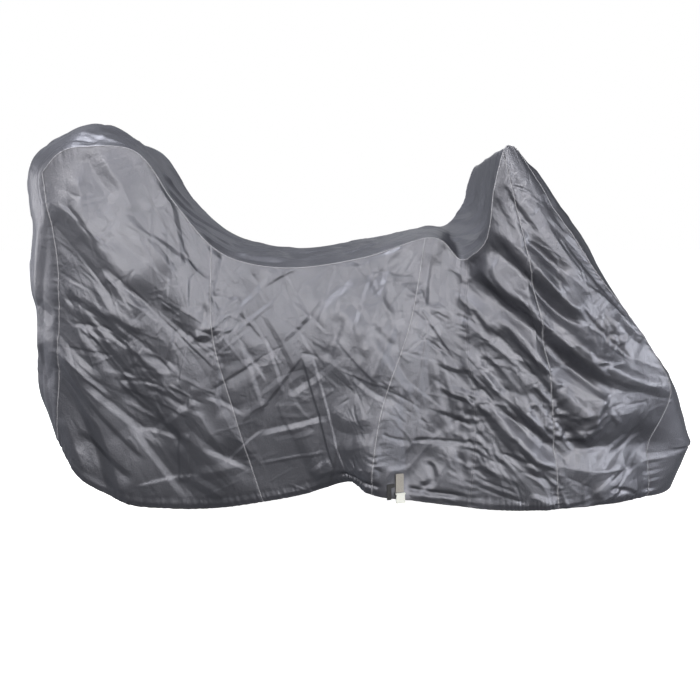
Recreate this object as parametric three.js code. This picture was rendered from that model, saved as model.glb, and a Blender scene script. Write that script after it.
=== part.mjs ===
import * as THREE from 'three';

// Fitted scooter cover of thin coated cloth, in the folds in which it hangs over a scooter with a top box.
// Millimetres. +X points to the front, +Y to the far side, +Z up. The origin lies under the saddle cloth.

// Driving dimensions
const CLOTH_THICKNESS = 2;
const SEAM_GAP = 0.3;
const SADDLE_X = -50;
const SADDLE_HEIGHT = 881;
const SIDE_ROWS = 25;
const STRIP_STEPS = 6;
const CROWN_POWER = 0.75;
const FOLD_TAPER = 0.22;
const FOLD_ROUND = 0.28;

const WEBBING = { width: 25, length: 58, thickness: 1.6 };
const BUCKLE = { width: 32, neck: 25, foot: 30, length: 32, thickness: 5, throat: 7 };
const ELASTIC = { width: 14, length: 50, arm: 24, armHeight: 13, thickness: 1.5 };
const STRAP_TOP = { x: 147, height: 252 };
const BUCKLE_TUCK = 0.3;
const STRAP_GAP = 0.6;
const ELASTIC_DROP = 30;
const CORNER_ROUND = 2;

const CLOTH_LOOK = { color: 0x777880, roughness: 0.45, metalness: 0.25 };
const WEBBING_LOOK = { color: 0x807c76, roughness: 0.85, metalness: 0 };
const BUCKLE_LOOK = { color: 0xc9cac4, roughness: 0.4, metalness: 0 };
const ELASTIC_LOOK = { color: 0x18181b, roughness: 0.9, metalness: 0 };

// Stations along the side from rear to front. Each is a line down the cloth through four points, at the top
// seam, a third and two thirds of the way down and at the hem, given as [x, half breadth, height over ground].
// steps is the number of mesh columns to the next station, farRise how much higher the far top edge lies.
const STATION_COLUMNS = ['name', 'steps', 'farRise', 'top', 'upper', 'lower', 'hem'];
const STATIONS = tableRows(STATION_COLUMNS, [
  ['rearSeam', 2, 0, [-908, 185, 1140], [-870, 215, 870], [-888, 205, 605], [-923, 165, 305]],
  ['rearShoulder', 3, 0, [-848, 200, 1198], [-772, 245, 860], [-770, 245, 540], [-848, 212, 200]],
  ['boxRear', 4, 8, [-778, 210, 1216], [-680, 262, 863], [-654, 250, 497], [-700, 238, 128]],
  ['boxFront', 4, -16, [-630, 210, 1205], [-580, 268, 864], [-552, 250, 500], [-565, 236, 108]],
  ['boxSlope', 4, -28, [-524, 205, 1063], [-487, 268, 760], [-448, 256, 447], [-417, 240, 112]],
  ['saddleSeam', 4, 4, [-414, 200, 927], [-410, 262, 670], [-345, 258, 400], [-270, 240, 132]],
  ['seatRear', 5, 13, [-300, 198, 873], [-260, 248, 640], [-204, 248, 400], [-140, 236, 156]],
  ['tuck', 4, 9, [-136, 196, 862], [-140, 244, 641], [-84, 254, 440], [-3, 252, 208]],
  ['seatFront', 4, 9, [45, 194, 892], [6, 252, 672], [6, 268, 442], [34, 276, 200]],
  ['legSeam', 6, -12, [224, 188, 948], [177, 268, 702], [96, 290, 442], [68, 306, 184]],
  ['hoodSeam', 4, 70, [343, 225, 891], [345, 272, 660], [377, 302, 411], [360, 322, 146]],
  ['ridgeFoot', 4, 58, [393, 305, 962], [443, 308, 695], [483, 322, 414], [460, 334, 141]],
  ['ridgeMid', 3, -40, [404, 335, 1100], [503, 336, 788], [547, 336, 471], [546, 336, 141]],
  ['peakSeam', 5, -80, [425, 345, 1205], [506, 345, 910], [590, 338, 533], [633, 326, 142]],
  ['frontSide', 5, -83, [450, 336, 1221], [624, 326, 896], [780, 306, 523], [790, 284, 140]],
  ['frontSeam', 0, -95, [474, 322, 1204], [700, 290, 885], [983, 200, 490], [950, 165, 121]],
]);

// Where the front seam swings back low down: middle and reach as shares of the way to the hem, and shift in x
const FRONT_BEND = { place: 0.83, reach: 0.17, shift: -48 };

// Crown of the centre strip: how far its middle stands out from the line between its two edges. A place is
// a share of the way down the rear or front edge, or a station of the top edge.
const CROWNS = tableRows(['edge', 'place', 'crown'], [
  ['rear', 1, 35],
  ['rear', 0.85, 95],
  ['rear', 2 / 3, 105],
  ['rear', 1 / 3, 137],
  ['rear', 1 / 6, 106],
  ['top', 'rearSeam', 80],
  ['top', 'rearShoulder', 56],
  ['top', 'boxRear', 54],
  ['top', 'boxFront', -6],
  ['top', 'boxSlope', -20],
  ['top', 'saddleSeam', 12],
  ['top', 'seatRear', 14],
  ['top', 'tuck', 12],
  ['top', 'seatFront', 12],
  ['top', 'legSeam', 14],
  ['top', 'hoodSeam', 0],
  ['top', 'ridgeFoot', -25],
  ['top', 'ridgeMid', -30],
  ['top', 'peakSeam', -10],
  ['top', 'frontSide', 10],
  ['top', 'frontSeam', 30],
  ['front', 1 / 6, 56],
  ['front', 1 / 3, 52],
  ['front', 0.5, 14],
  ['front', 0.6, 17],
  ['front', 2 / 3, 47],
  ['front', 0.83, 186],
  ['front', 1, 120],
]);

// Main folds of the two sides. A path is a line of [x, height over ground] in the side view. Its ridge stands
// depth out of the cloth, or a trough in where depth is negative, and slopes away to nothing at upper on the
// upper or right side of the path and at lower on the other.
const FOLD_COLUMNS = ['side', 'depth', 'upper', 'lower', 'path'];
const FOLDS = tableRows(FOLD_COLUMNS, [
  ['near', 14, 150, 65, [[-930, 1085], [-830, 1035], [-750, 950], [-690, 880], [-640, 820], [-580, 760]]],
  ['near', 8, 50, 60, [[-860, 850], [-790, 785], [-700, 735], [-610, 690]]],
  ['near', 14, 160, 90, [[-770, 815], [-705, 720], [-645, 640], [-592, 560], [-550, 470], [-505, 390],
    [-450, 290], [-405, 180], [-380, 60]]],
  ['near', 16, 115, 55, [[-870, 730], [-850, 640], [-845, 560], [-810, 490], [-770, 400], [-735, 300],
    [-715, 215], [-695, 140], [-680, 60]]],
  ['near', -10, 45, 60, [[-905, 620], [-895, 545], [-860, 485], [-820, 400], [-785, 300], [-765, 215],
    [-745, 145], [-735, 80]]],
  ['near', -8, 45, 60, [[-555, 520], [-505, 495], [-450, 445], [-390, 335], [-325, 255], [-280, 180]]],
  ['near', 26, 90, 165, [[35, 830], [40, 770], [50, 670], [60, 575], [70, 475], [70, 365], [80, 260],
    [85, 185], [90, 100]]],
  ['near', 6, 26, 60, [[-120, 690], [-60, 745], [0, 795], [40, 830]]],
  ['near', 10, 24, 45, [[30, 745], [45, 757], [120, 825], [200, 915], [220, 940]]],
  ['near', -8, 40, 26, [[10, 790], [95, 862], [165, 935]]],
  ['near', -20, 110, 95, [[190, 960], [200, 900], [230, 800], [245, 660], [245, 480], [235, 385],
    [230, 300]]],
  ['near', -16, 60, 60, [[130, 170], [170, 220], [215, 280], [275, 355], [345, 435], [380, 480]]],
  ['near', 18, 60, 40, [[385, 1015], [405, 995], [465, 930], [510, 885], [550, 845], [605, 800],
    [655, 755], [715, 710]]],
  ['near', -16, 40, 45, [[380, 985], [400, 965], [435, 925], [495, 865], [535, 815], [595, 750],
    [660, 705]]],
  ['near', 20, 60, 40, [[340, 890], [425, 840], [470, 805], [525, 770], [570, 720], [630, 660],
    [700, 605], [770, 525]]],
  ['near', -20, 40, 50, [[335, 865], [405, 790], [450, 750], [510, 705], [560, 665], [625, 600],
    [690, 545], [745, 505]]],
  ['near', 16, 45, 40, [[420, 740], [475, 690], [535, 615], [590, 550]]],
  ['near', -14, 40, 45, [[410, 720], [460, 665], [520, 600], [575, 535]]],
  ['near', 9, 50, 36, [[580, 710], [675, 645], [770, 580], [885, 525], [985, 490], [1040, 470]]],
  ['near', 12, 45, 40, [[380, 525], [415, 475], [470, 395], [550, 310], [610, 250]]],
  ['near', -12, 40, 40, [[380, 540], [460, 450], [545, 370], [620, 280]]],
  ['near', -20, 120, 60, [[580, 420], [635, 345], [700, 325], [765, 315], [845, 310], [915, 320],
    [960, 340]]],
  ['near', 10, 40, 80, [[770, 510], [750, 485], [740, 450], [735, 395], [720, 365], [665, 355]]],
  ['near', -9, 32, 40, [[480, 975], [525, 935], [570, 895], [620, 845]]],
  ['far', 26, 85, 85, [[-840, 800], [-780, 600], [-690, 420], [-560, 230]]],
  ['far', -30, 90, 90, [[-770, 860], [-640, 640], [-520, 450], [-400, 260]]],
  ['far', 24, 85, 85, [[-690, 900], [-560, 700], [-430, 500]]],
  ['far', -28, 105, 105, [[-420, 660], [-300, 500], [-140, 430]]],
  ['far', 20, 75, 75, [[-60, 800], [60, 640], [110, 480]]],
  ['far', 22, 75, 75, [[150, 240], [280, 350], [360, 520]]],
  ['far', -42, 75, 75, [[385, 900], [500, 780], [620, 640], [760, 560]]],
  ['far', 28, 75, 75, [[430, 780], [560, 640], [700, 520], [900, 470]]],
  ['far', -26, 85, 85, [[480, 470], [620, 330], [830, 290]]],
]);

// Panels of one side, from seam to seam, and of the centre strip, from place to place along it.
const SIDE_PANELS = tableRows(['name', 'from', 'to'], [
  ['rear_panel', 'rearSeam', 'saddleSeam'],
  ['seat_panel', 'saddleSeam', 'legSeam'],
  ['leg_panel', 'legSeam', 'hoodSeam'],
  ['hood_panel', 'hoodSeam', 'peakSeam'],
  ['front_panel', 'peakSeam', 'frontSeam'],
]);
const STRIP_PANELS = tableRows(['name', 'from', 'to'], [
  ['strip_rear', 'rearHem', 'saddleSeam'],
  ['strip_saddle', 'saddleSeam', 'hoodSeam'],
  ['strip_hood', 'hoodSeam', 'peakSeam'],
  ['strip_front', 'peakSeam', 'frontHem'],
]);

function tableRows(columns, rows) {
  return rows.map((row) => Object.fromEntries(columns.map((column, k) => [column, row[k]])));
}

// Cubic curve through values at rising knots, with three-point slopes. Values are arrays of equal length.
function curveThrough(knots, values, place) {
  const last = knots.length - 1;
  let k = 0;
  while (k < last - 1 && place >= knots[k + 1]) k += 1;
  const gap = (m) => knots[m + 1] - knots[m];
  const slope = (m, c) => (values[m + 1][c] - values[m][c]) / gap(m);
  const tangent = (m, c) => {
    if (m === 0) return slope(0, c);
    if (m === last) return slope(last - 1, c);
    return (slope(m - 1, c) * gap(m) + slope(m, c) * gap(m - 1)) / (gap(m - 1) + gap(m));
  };
  const f = (place - knots[k]) / gap(k);
  const f2 = f * f;
  const f3 = f2 * f;
  return values[k].map((start, c) => (2 * f3 - 3 * f2 + 1) * start
    + (f3 - 2 * f2 + f) * gap(k) * tangent(k, c)
    + (3 * f2 - 2 * f3) * values[k + 1][c]
    + (f3 - f2) * gap(k) * tangent(k + 1, c));
}

// Columns: how far along the side each mesh column lies, and the column at which each station stands
const LEVELS = ['top', 'upper', 'lower', 'hem'];
const LEVEL_PLACES = [0, 1 / 3, 2 / 3, 1];

function stationKnots() {
  const knots = [0];
  for (let s = 1; s < STATIONS.length; s += 1) {
    const lengths = LEVELS.map((level) => {
      const here = new THREE.Vector3(...STATIONS[s][level]);
      return here.distanceTo(new THREE.Vector3(...STATIONS[s - 1][level]));
    });
    knots.push(knots[s - 1] + lengths.reduce((sum, length) => sum + length, 0) / LEVELS.length);
  }
  return knots;
}

const KNOTS = stationKnots();
const STATION_COLUMN = {};
const COLUMN_PLACES = [];
STATIONS.forEach((station, s) => {
  STATION_COLUMN[station.name] = COLUMN_PLACES.length;
  const stretch = station.steps ? (KNOTS[s + 1] - KNOTS[s]) / station.steps : 0;
  const count = station.steps || 1;
  for (let k = 0; k < count; k += 1) COLUMN_PLACES.push(KNOTS[s] + k * stretch);
});
const LAST_COLUMN = COLUMN_PLACES.length - 1;

// Smooth side of the cover, before its folds, as a grid of [column][row]
function smoothSide(sign) {
  const [lastSide, seam] = KNOTS.slice(-2);
  return COLUMN_PLACES.map((along) => {
    const bent = FRONT_BEND.shift * THREE.MathUtils.smoothstep(along, lastSide, seam);
    const line = LEVELS.map((level) => curveThrough(KNOTS, STATIONS.map((s) => s[level]), along));
    const [rise] = curveThrough(KNOTS, STATIONS.map((s) => [s.farRise]), along);
    return Array.from({ length: SIDE_ROWS + 1 }, (_, row) => {
      const down = row / SIDE_ROWS;
      const [x, halfBreadth, height] = curveThrough(LEVEL_PLACES, line, down);
      const lift = sign > 0 ? rise * (1 - down) : 0;
      const off = THREE.MathUtils.clamp((down - FRONT_BEND.place) / FRONT_BEND.reach, -1, 1);
      const bend = bent * 0.5 * (1 + Math.cos(Math.PI * off));
      return new THREE.Vector3(x + bend, sign * halfBreadth, height + lift);
    });
  });
}

function gridNormal(grid, column, row, sign) {
  const along = grid[Math.min(column + 1, LAST_COLUMN)][row].clone();
  along.sub(grid[Math.max(column - 1, 0)][row]);
  const down = grid[column][Math.min(row + 1, SIDE_ROWS)].clone();
  down.sub(grid[column][Math.max(row - 1, 0)]);
  return along.cross(down).normalize().multiplyScalar(sign);
}

// Nearest point of a fold's path to a place in the side view: its distance, whether the place lies on the
// upper or right side of the path, and its share of the path
function nearestOnPath(path, x, height) {
  let best = { distance: Infinity, upperSide: true, walked: 0 };
  let walked = 0;
  for (let k = 0; k + 1 < path.length; k += 1) {
    const [ax, az] = path[k];
    const [bx, bz] = path[k + 1];
    const length = Math.hypot(bx - ax, bz - az);
    const ahead = ((x - ax) * (bx - ax) + (height - az) * (bz - az)) / length;
    const f = THREE.MathUtils.clamp(ahead / length, 0, 1);
    const distance = Math.hypot(x - ax - f * (bx - ax), height - az - f * (bz - az));
    const upperSide = (bx - ax) * (height - az) - (bz - az) * (x - ax) >= 0;
    if (distance < best.distance) best = { distance, upperSide, walked: walked + f * length };
    walked += length;
  }
  return { distance: best.distance, upperSide: best.upperSide, share: best.walked / walked };
}

// Straight slope from a rounded crest of one down to nothing at the reach
function tent(distance, reach) {
  const crest = FOLD_ROUND * reach;
  const top = Math.hypot(reach, crest);
  return Math.max(0, (top - Math.hypot(distance, crest)) / (top - crest));
}

function foldHeight(side, x, height) {
  let total = 0;
  for (const fold of FOLDS.filter((row) => row.side === side)) {
    const { distance, upperSide, share } = nearestOnPath(fold.path, x, height);
    const ends = Math.min(share, 1 - share) / FOLD_TAPER;
    const taper = THREE.MathUtils.smoothstep(ends, 0, 1);
    total += fold.depth * taper * tent(distance, upperSide ? fold.upper : fold.lower);
  }
  return total;
}

function foldedSide(side) {
  const sign = side === 'far' ? 1 : -1;
  const smooth = smoothSide(sign);
  return smooth.map((line, column) => line.map((point, row) => {
    const outward = gridNormal(smooth, column, row, sign);
    const rootFade = THREE.MathUtils.smoothstep(row, 0, 2);
    return point.clone().addScaledVector(outward, rootFade * foldHeight(side, point.x, point.z));
  }));
}

// Centre strip: from the rear hem up the rear seam, along the top edge and down the front seam to the hem
function stripEdge(grid) {
  const rear = grid[0].slice(1).reverse();
  const top = grid.map((line) => line[0]);
  const front = grid[LAST_COLUMN].slice(1);
  return [...rear, ...top, ...front];
}

function stripRow(edge, place) {
  if (edge === 'rear') return (1 - place) * SIDE_ROWS;
  if (edge === 'top') return SIDE_ROWS + STATION_COLUMN[place];
  return SIDE_ROWS + LAST_COLUMN + place * SIDE_ROWS;
}

function stripMiddle(nearEdge, farEdge) {
  const knots = CROWNS.map((row) => stripRow(row.edge, row.place));
  const crowns = CROWNS.map((row) => [row.crown]);
  const middle = nearEdge.map((point, row) => point.clone().lerp(farEdge[row], 0.5));
  const smoothing = [1, 2, 3, 2, 1];
  const last = middle.length - 1;
  const clampRow = (row) => THREE.MathUtils.clamp(row, 0, last);
  const slope = (row) => middle[clampRow(row + 1)].clone().sub(middle[clampRow(row - 1)]);
  return middle.map((_, row) => {
    const along = new THREE.Vector3();
    smoothing.forEach((weight, k) => along.addScaledVector(slope(clampRow(row + k - 2)), weight));
    const outward = new THREE.Vector3(-along.z, 0, along.x).normalize();
    return outward.multiplyScalar(curveThrough(knots, crowns, row)[0]);
  });
}

// All points of the cloth, shared by the panels that meet at a seam
const points = [];

function keep(point) {
  points.push(point.clone().sub(new THREE.Vector3(SADDLE_X, 0, SADDLE_HEIGHT)));
  return points.length - 1;
}

const nearGrid = foldedSide('near');
const farGrid = foldedSide('far');
const nearIds = nearGrid.map((line) => line.map(keep));
const farIds = farGrid.map((line) => line.map(keep));

function stripIds() {
  const nearEdge = stripEdge(nearGrid);
  const farEdge = stripEdge(farGrid);
  const nearEdgeIds = stripEdge(nearIds);
  const farEdgeIds = stripEdge(farIds);
  return stripMiddle(nearEdge, farEdge).map((crown, row) => {
    const ids = [nearEdgeIds[row]];
    for (let k = 1; k < STRIP_STEPS; k += 1) {
      const share = k / STRIP_STEPS;
      const bulge = (1 - (2 * share - 1) ** 2) ** CROWN_POWER;
      ids.push(keep(nearEdge[row].clone().lerp(farEdge[row], share).addScaledVector(crown, bulge)));
    }
    ids.push(farEdgeIds[row]);
    return ids;
  });
}

const STRIP_IDS = stripIds();

// Patches of point numbers whose first direction crossed with the second points out of the cloth
function transpose(grid) {
  return grid[0].map((_, k) => grid.map((line) => line[k]));
}

function columnSlice(grid, panel) {
  return grid.slice(STATION_COLUMN[panel.from], STATION_COLUMN[panel.to] + 1);
}

function stripPlace(name) {
  if (name === 'rearHem') return stripRow('rear', 1);
  if (name === 'frontHem') return stripRow('front', 1);
  return stripRow('top', name);
}

function clothPatches() {
  const patches = [];
  for (const panel of SIDE_PANELS) {
    const ids = transpose(columnSlice(nearIds, panel));
    patches.push({ name: `near_${panel.name}`, ids, hemSide: 'first-end' });
  }
  for (const panel of SIDE_PANELS) {
    patches.push({ name: `far_${panel.name}`, ids: columnSlice(farIds, panel), hemSide: 'second-end' });
  }
  for (const panel of STRIP_PANELS) {
    const ids = STRIP_IDS.slice(stripPlace(panel.from), stripPlace(panel.to) + 1);
    let hemSide = 'none';
    if (panel.from === 'rearHem') hemSide = 'first-start';
    if (panel.to === 'frontHem') hemSide = 'first-end';
    patches.push({ name: panel.name, ids, hemSide });
  }
  return patches;
}

const PATCHES = clothPatches();

function eachCell(ids, visit) {
  for (let a = 0; a + 1 < ids.length; a += 1) {
    for (let b = 0; b + 1 < ids[0].length; b += 1) {
      visit(ids[a][b], ids[a + 1][b], ids[a + 1][b + 1], ids[a][b + 1], a, b);
    }
  }
}

function outwardNormals() {
  const normals = points.map(() => new THREE.Vector3());
  for (const patch of PATCHES) {
    eachCell(patch.ids, (p, q, r, s) => {
      const across = points[r].clone().sub(points[p]);
      const other = points[s].clone().sub(points[q]);
      const facing = across.cross(other);
      for (const id of [p, q, r, s]) normals[id].add(facing);
    });
  }
  return normals.map((normal) => normal.normalize());
}

const NORMALS = outwardNormals();

// Outer points of a patch, drawn in from its sewn edges by half the seam's gap
function outerPoints(patch) {
  const lastA = patch.ids.length - 1;
  const lastB = patch.ids[0].length - 1;
  const drawIn = (point, here, inner) => {
    const step = points[inner].clone().sub(points[here]);
    point.addScaledVector(step.normalize(), SEAM_GAP / 2);
  };
  return patch.ids.map((line, a) => line.map((id, b) => {
    const point = points[id].clone();
    if (a === 0 && patch.hemSide !== 'first-start') drawIn(point, id, patch.ids[1][b]);
    if (a === lastA && patch.hemSide !== 'first-end') drawIn(point, id, patch.ids[lastA - 1][b]);
    if (b === 0) drawIn(point, id, line[1]);
    if (b === lastB && patch.hemSide !== 'second-end') drawIn(point, id, line[lastB - 1]);
    return point;
  }));
}

// Closed sheet: outer face, inner face one thickness behind it, and a rim around both. Two panels split
// the rim's cells along their seam the same way, so that the gap between them stays even.
function sheetGeometry(patch) {
  const outer = outerPoints(patch);
  const rows = outer.length;
  const width = outer[0].length;
  const positions = [];
  outer.flat().forEach((point) => positions.push(point.x, point.y, point.z));
  outer.forEach((line, a) => line.forEach((point, b) => {
    const inner = point.clone().addScaledVector(NORMALS[patch.ids[a][b]], -CLOTH_THICKNESS);
    positions.push(inner.x, inner.y, inner.z);
  }));
  const index = [];
  const front = (a, b) => a * width + b;
  const back = (a, b) => rows * width + front(a, b);
  eachCell(patch.ids, (p, q, r, s, a, b) => {
    const corners = [[a, b], [a + 1, b], [a + 1, b + 1], [a, b + 1]];
    const [fp, fq, fr, fs] = corners.map(([m, n]) => front(m, n));
    const [bp, bq, br, bs] = corners.map(([m, n]) => back(m, n));
    if (points[p].distanceTo(points[r]) <= points[q].distanceTo(points[s])) {
      index.push(fp, fq, fr, fp, fr, fs, bp, br, bq, bp, bs, br);
    } else {
      index.push(fp, fq, fs, fq, fr, fs, bp, bs, bq, bq, bs, br);
    }
  });
  const loop = [];
  for (let b = 0; b < width - 1; b += 1) loop.push([0, b]);
  for (let a = 0; a < rows - 1; a += 1) loop.push([a, width - 1]);
  for (let b = width - 1; b > 0; b -= 1) loop.push([rows - 1, b]);
  for (let a = rows - 1; a > 0; a -= 1) loop.push([a, 0]);
  loop.forEach((here, k) => {
    const next = loop[(k + 1) % loop.length];
    const [fh, fn, bh, bn] = [front(...here), front(...next), back(...here), back(...next)];
    const sameWay = patch.ids[here[0]][here[1]] < patch.ids[next[0]][next[1]];
    if (sameWay) index.push(fh, fn, bn, fh, bn, bh);
    else index.push(fh, fn, bh, fn, bn, bh);
  });
  const geometry = new THREE.BufferGeometry();
  geometry.setAttribute('position', new THREE.Float32BufferAttribute(positions, 3));
  geometry.setIndex(index);
  geometry.computeVertexNormals();
  return geometry;
}

function look(values) {
  return new THREE.MeshStandardMaterial(values);
}

function addCloth(group) {
  for (const patch of PATCHES) {
    const mesh = new THREE.Mesh(sheetGeometry(patch), look(CLOTH_LOOK));
    mesh.name = patch.name;
    group.add(mesh);
  }
}

// Strap fittings lie flat on the cloth of the near leg panel, in a frame of their own: x along the hem,
// y up the cloth and z out of it, with its zero at the strap's top.
function strapFrame() {
  const target = new THREE.Vector2(STRAP_TOP.x - SADDLE_X, STRAP_TOP.height - SADDLE_HEIGHT);
  let best = nearIds[0][0];
  nearIds.flat().forEach((id) => {
    const away = (other) => target.distanceTo(new THREE.Vector2(points[other].x, points[other].z));
    if (away(id) < away(best)) best = id;
  });
  const out = NORMALS[best].clone();
  const along = new THREE.Vector3(0, 0, 1).cross(out).normalize();
  const up = out.clone().cross(along);
  const start = points[best].clone();
  const shift = new THREE.Vector3(target.x - start.x, 0, target.y - start.z);
  start.addScaledVector(along, shift.dot(along)).addScaledVector(up, shift.dot(up));
  return new THREE.Matrix4().makeBasis(along, up, out).setPosition(start);
}

// Highest cloth under a rectangle of the strap's frame
const CELL_SAMPLES = 24;

function clothHeight(frame, box) {
  const inverse = frame.clone().invert();
  const leg = PATCHES.find((patch) => patch.name === 'near_leg_panel');
  const seat = PATCHES.find((patch) => patch.name === 'near_seat_panel');
  let highest = -Infinity;
  for (const patch of [leg, seat]) {
    eachCell(patch.ids, (...cell) => {
      const [p, q, r, s] = cell.slice(0, 4).map((id) => points[id].clone().applyMatrix4(inverse));
      for (let m = 0; m <= CELL_SAMPLES; m += 1) {
        for (let n = 0; n <= CELL_SAMPLES; n += 1) {
          const first = p.clone().lerp(q, m / CELL_SAMPLES);
          const spot = first.lerp(s.clone().lerp(r, m / CELL_SAMPLES), n / CELL_SAMPLES);
          if (box.containsPoint(new THREE.Vector2(spot.x, spot.y))) highest = Math.max(highest, spot.z);
        }
      }
    });
  }
  return highest;
}

function plate(outline, thickness) {
  const shape = new THREE.Shape(outline.map(([x, y]) => new THREE.Vector2(x, y)));
  return new THREE.ExtrudeGeometry(shape, { depth: thickness, bevelEnabled: false });
}

function webbingOutline() {
  const half = WEBBING.width / 2;
  return [[-half, -WEBBING.length], [half, -WEBBING.length], [half, -CORNER_ROUND],
    [half - CORNER_ROUND, 0], [-half + CORNER_ROUND, 0], [-half, -CORNER_ROUND]];
}

function buckleOutline() {
  const top = -WEBBING.length - BUCKLE_TUCK;
  const half = BUCKLE.width / 2;
  const neck = BUCKLE.neck / 2;
  const foot = BUCKLE.foot / 2;
  const bottom = top - BUCKLE.length;
  return [[-foot, bottom + CORNER_ROUND], [-foot + CORNER_ROUND, bottom], [foot - CORNER_ROUND, bottom],
    [foot, bottom + CORNER_ROUND], [neck, top - BUCKLE.throat], [half, top - CORNER_ROUND],
    [half - CORNER_ROUND, top], [-half + CORNER_ROUND, top], [-half, top - CORNER_ROUND],
    [-neck, top - BUCKLE.throat]];
}

function elasticOutline() {
  const right = -BUCKLE.width / 2 - SEAM_GAP;
  const left = right - ELASTIC.arm;
  const top = -ELASTIC_DROP;
  const band = left + ELASTIC.width;
  return [[left, top - ELASTIC.length], [band, top - ELASTIC.length], [band, top - ELASTIC.armHeight],
    [right, top - ELASTIC.armHeight + CORNER_ROUND], [right, top], [left, top]];
}

function outlineBox(outline) {
  const box = new THREE.Box2();
  outline.forEach(([x, y]) => box.expandByPoint(new THREE.Vector2(x, y)));
  return box;
}

function addStrap(group) {
  const frame = strapFrame();
  const fittings = [
    { name: 'strap_webbing', outline: webbingOutline(), size: WEBBING, finish: WEBBING_LOOK },
    { name: 'strap_buckle', outline: buckleOutline(), size: BUCKLE, finish: BUCKLE_LOOK },
    { name: 'elastic_tab', outline: elasticOutline(), size: ELASTIC, finish: ELASTIC_LOOK },
  ];
  for (const fitting of fittings) {
    const lift = clothHeight(frame, outlineBox(fitting.outline)) + STRAP_GAP;
    const mesh = new THREE.Mesh(plate(fitting.outline, fitting.size.thickness), look(fitting.finish));
    mesh.name = fitting.name;
    mesh.applyMatrix4(frame.clone().multiply(new THREE.Matrix4().makeTranslation(0, 0, lift)));
    group.add(mesh);
  }
}

const cover = new THREE.Group();
addCloth(cover);
addStrap(cover);

export default cover;
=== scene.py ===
"""Scooter cover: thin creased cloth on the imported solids, with seams, hem, strap, light and camera."""
import math

import bpy
import numpy as np
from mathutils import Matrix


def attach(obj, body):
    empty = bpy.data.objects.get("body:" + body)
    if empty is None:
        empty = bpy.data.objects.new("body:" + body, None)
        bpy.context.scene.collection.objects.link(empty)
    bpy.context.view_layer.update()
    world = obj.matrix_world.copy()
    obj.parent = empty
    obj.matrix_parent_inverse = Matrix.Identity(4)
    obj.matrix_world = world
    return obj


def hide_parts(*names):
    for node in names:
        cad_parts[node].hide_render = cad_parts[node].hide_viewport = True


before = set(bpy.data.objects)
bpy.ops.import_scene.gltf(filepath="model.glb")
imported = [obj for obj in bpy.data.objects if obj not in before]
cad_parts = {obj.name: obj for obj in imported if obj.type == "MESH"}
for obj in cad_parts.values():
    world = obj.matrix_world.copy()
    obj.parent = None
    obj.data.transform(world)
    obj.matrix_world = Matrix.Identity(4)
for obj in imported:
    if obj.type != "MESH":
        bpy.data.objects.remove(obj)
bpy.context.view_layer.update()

# The tables are in millimetres above the ground, and this is where the frame's origin lies in them.
MM = 0.001
SADDLE_X = -50.0
SADDLE_HEIGHT = 881.0

# Grid of the cloth: spacing along each side, the length that its rows divide, and the steps across the
# centre strip, which start smaller than even ones at the near edge.
NEAR_SPACING = 3.0
FAR_SPACING = 7.5
ROWS_LENGTH = 1000.0
STRIP_STEPS = 90
STRIP_NEAR_STEP = 0.65

# Folds, creases and pleats fade over this share of their length at each end. A fold's crest is rounded by a
# share of its reach, a crease's by a radius.
FOLD_TAPER = 0.22
CREASE_TAPER = 0.20
PLEAT_TAPER = 0.12
FOLD_ROUND = 0.28
CREST_ROUND = 1.5
STRIP_CREST_ROUND = 4.0

# Share of the way down a side over which folds, creases and facets set in below the top seam.
FOLD_ONSET = 0.09
CREASE_ONSET = 0.02
FACET_ONSET = 0.03

# Scattered creases: how uneven their two sides are; their spread, length, height, reach and bend in a
# crumpled patch; the slope of a facet's steep flank, its bow, and the share of facets with a lit broad flank.
SEED = 61
UNEVEN_SIDES = (0.7, 1.4)
CRUMPLE_SPREAD = 0.5
CRUMPLE_LENGTHS = (0.6, 1.5)
CRUMPLE_HEIGHTS = (0.5, 1.2)
CRUMPLE_REACHES = (0.7, 1.3)
CRUMPLE_BEND = 0.08
FACET_STEEP = (0.26, 0.42)
FACET_BOW = 0.06
LIT_SHARE = 0.65

# The far side has every second crease of the near one, a little flatter, broader and shifted.
FAR_CREASE_DEPTH = 0.9
FAR_CREASE_REACH = 1.3
FAR_CREASE_SHIFT = (25, -20)

# The centre strip: shape of its crown, runs of points over which its edges and its direction are smoothed,
# how soon the edges' small waves die out across it, and where its creases reach their full height.
CROWN_POWER = 0.75
EDGE_RUN = 22
DIRECTION_RUN = 36
EDGE_FADE = 9.0
STRIP_EDGE_RUN = 18.0

# Welts and stitches along the seams. A stitch's length is a share of a step of the grid. Its foot and its top
# are given as shares of its length, width and height.
WELT_RADIUS = 1.1
WELT_SIDES = 6
WELT_LIFT = 0.4
STITCH_LENGTH = 0.62
STITCH_WIDTH = 0.45
STITCH_HEIGHT = 0.35
STITCH_LIFT = 0.1
STITCH_RINGS = ((1.0, 0.5, 0.0), (0.7, 0.4, 1.0))
WELTED_SEAMS = ("rearSeam", "saddleSeam", "legSeam", "peakSeam", "frontSeam")
SEWN_SEAMS = ("rearSeam", "saddleSeam", "legSeam", "hoodSeam", "peakSeam", "frontSeam")

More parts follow.
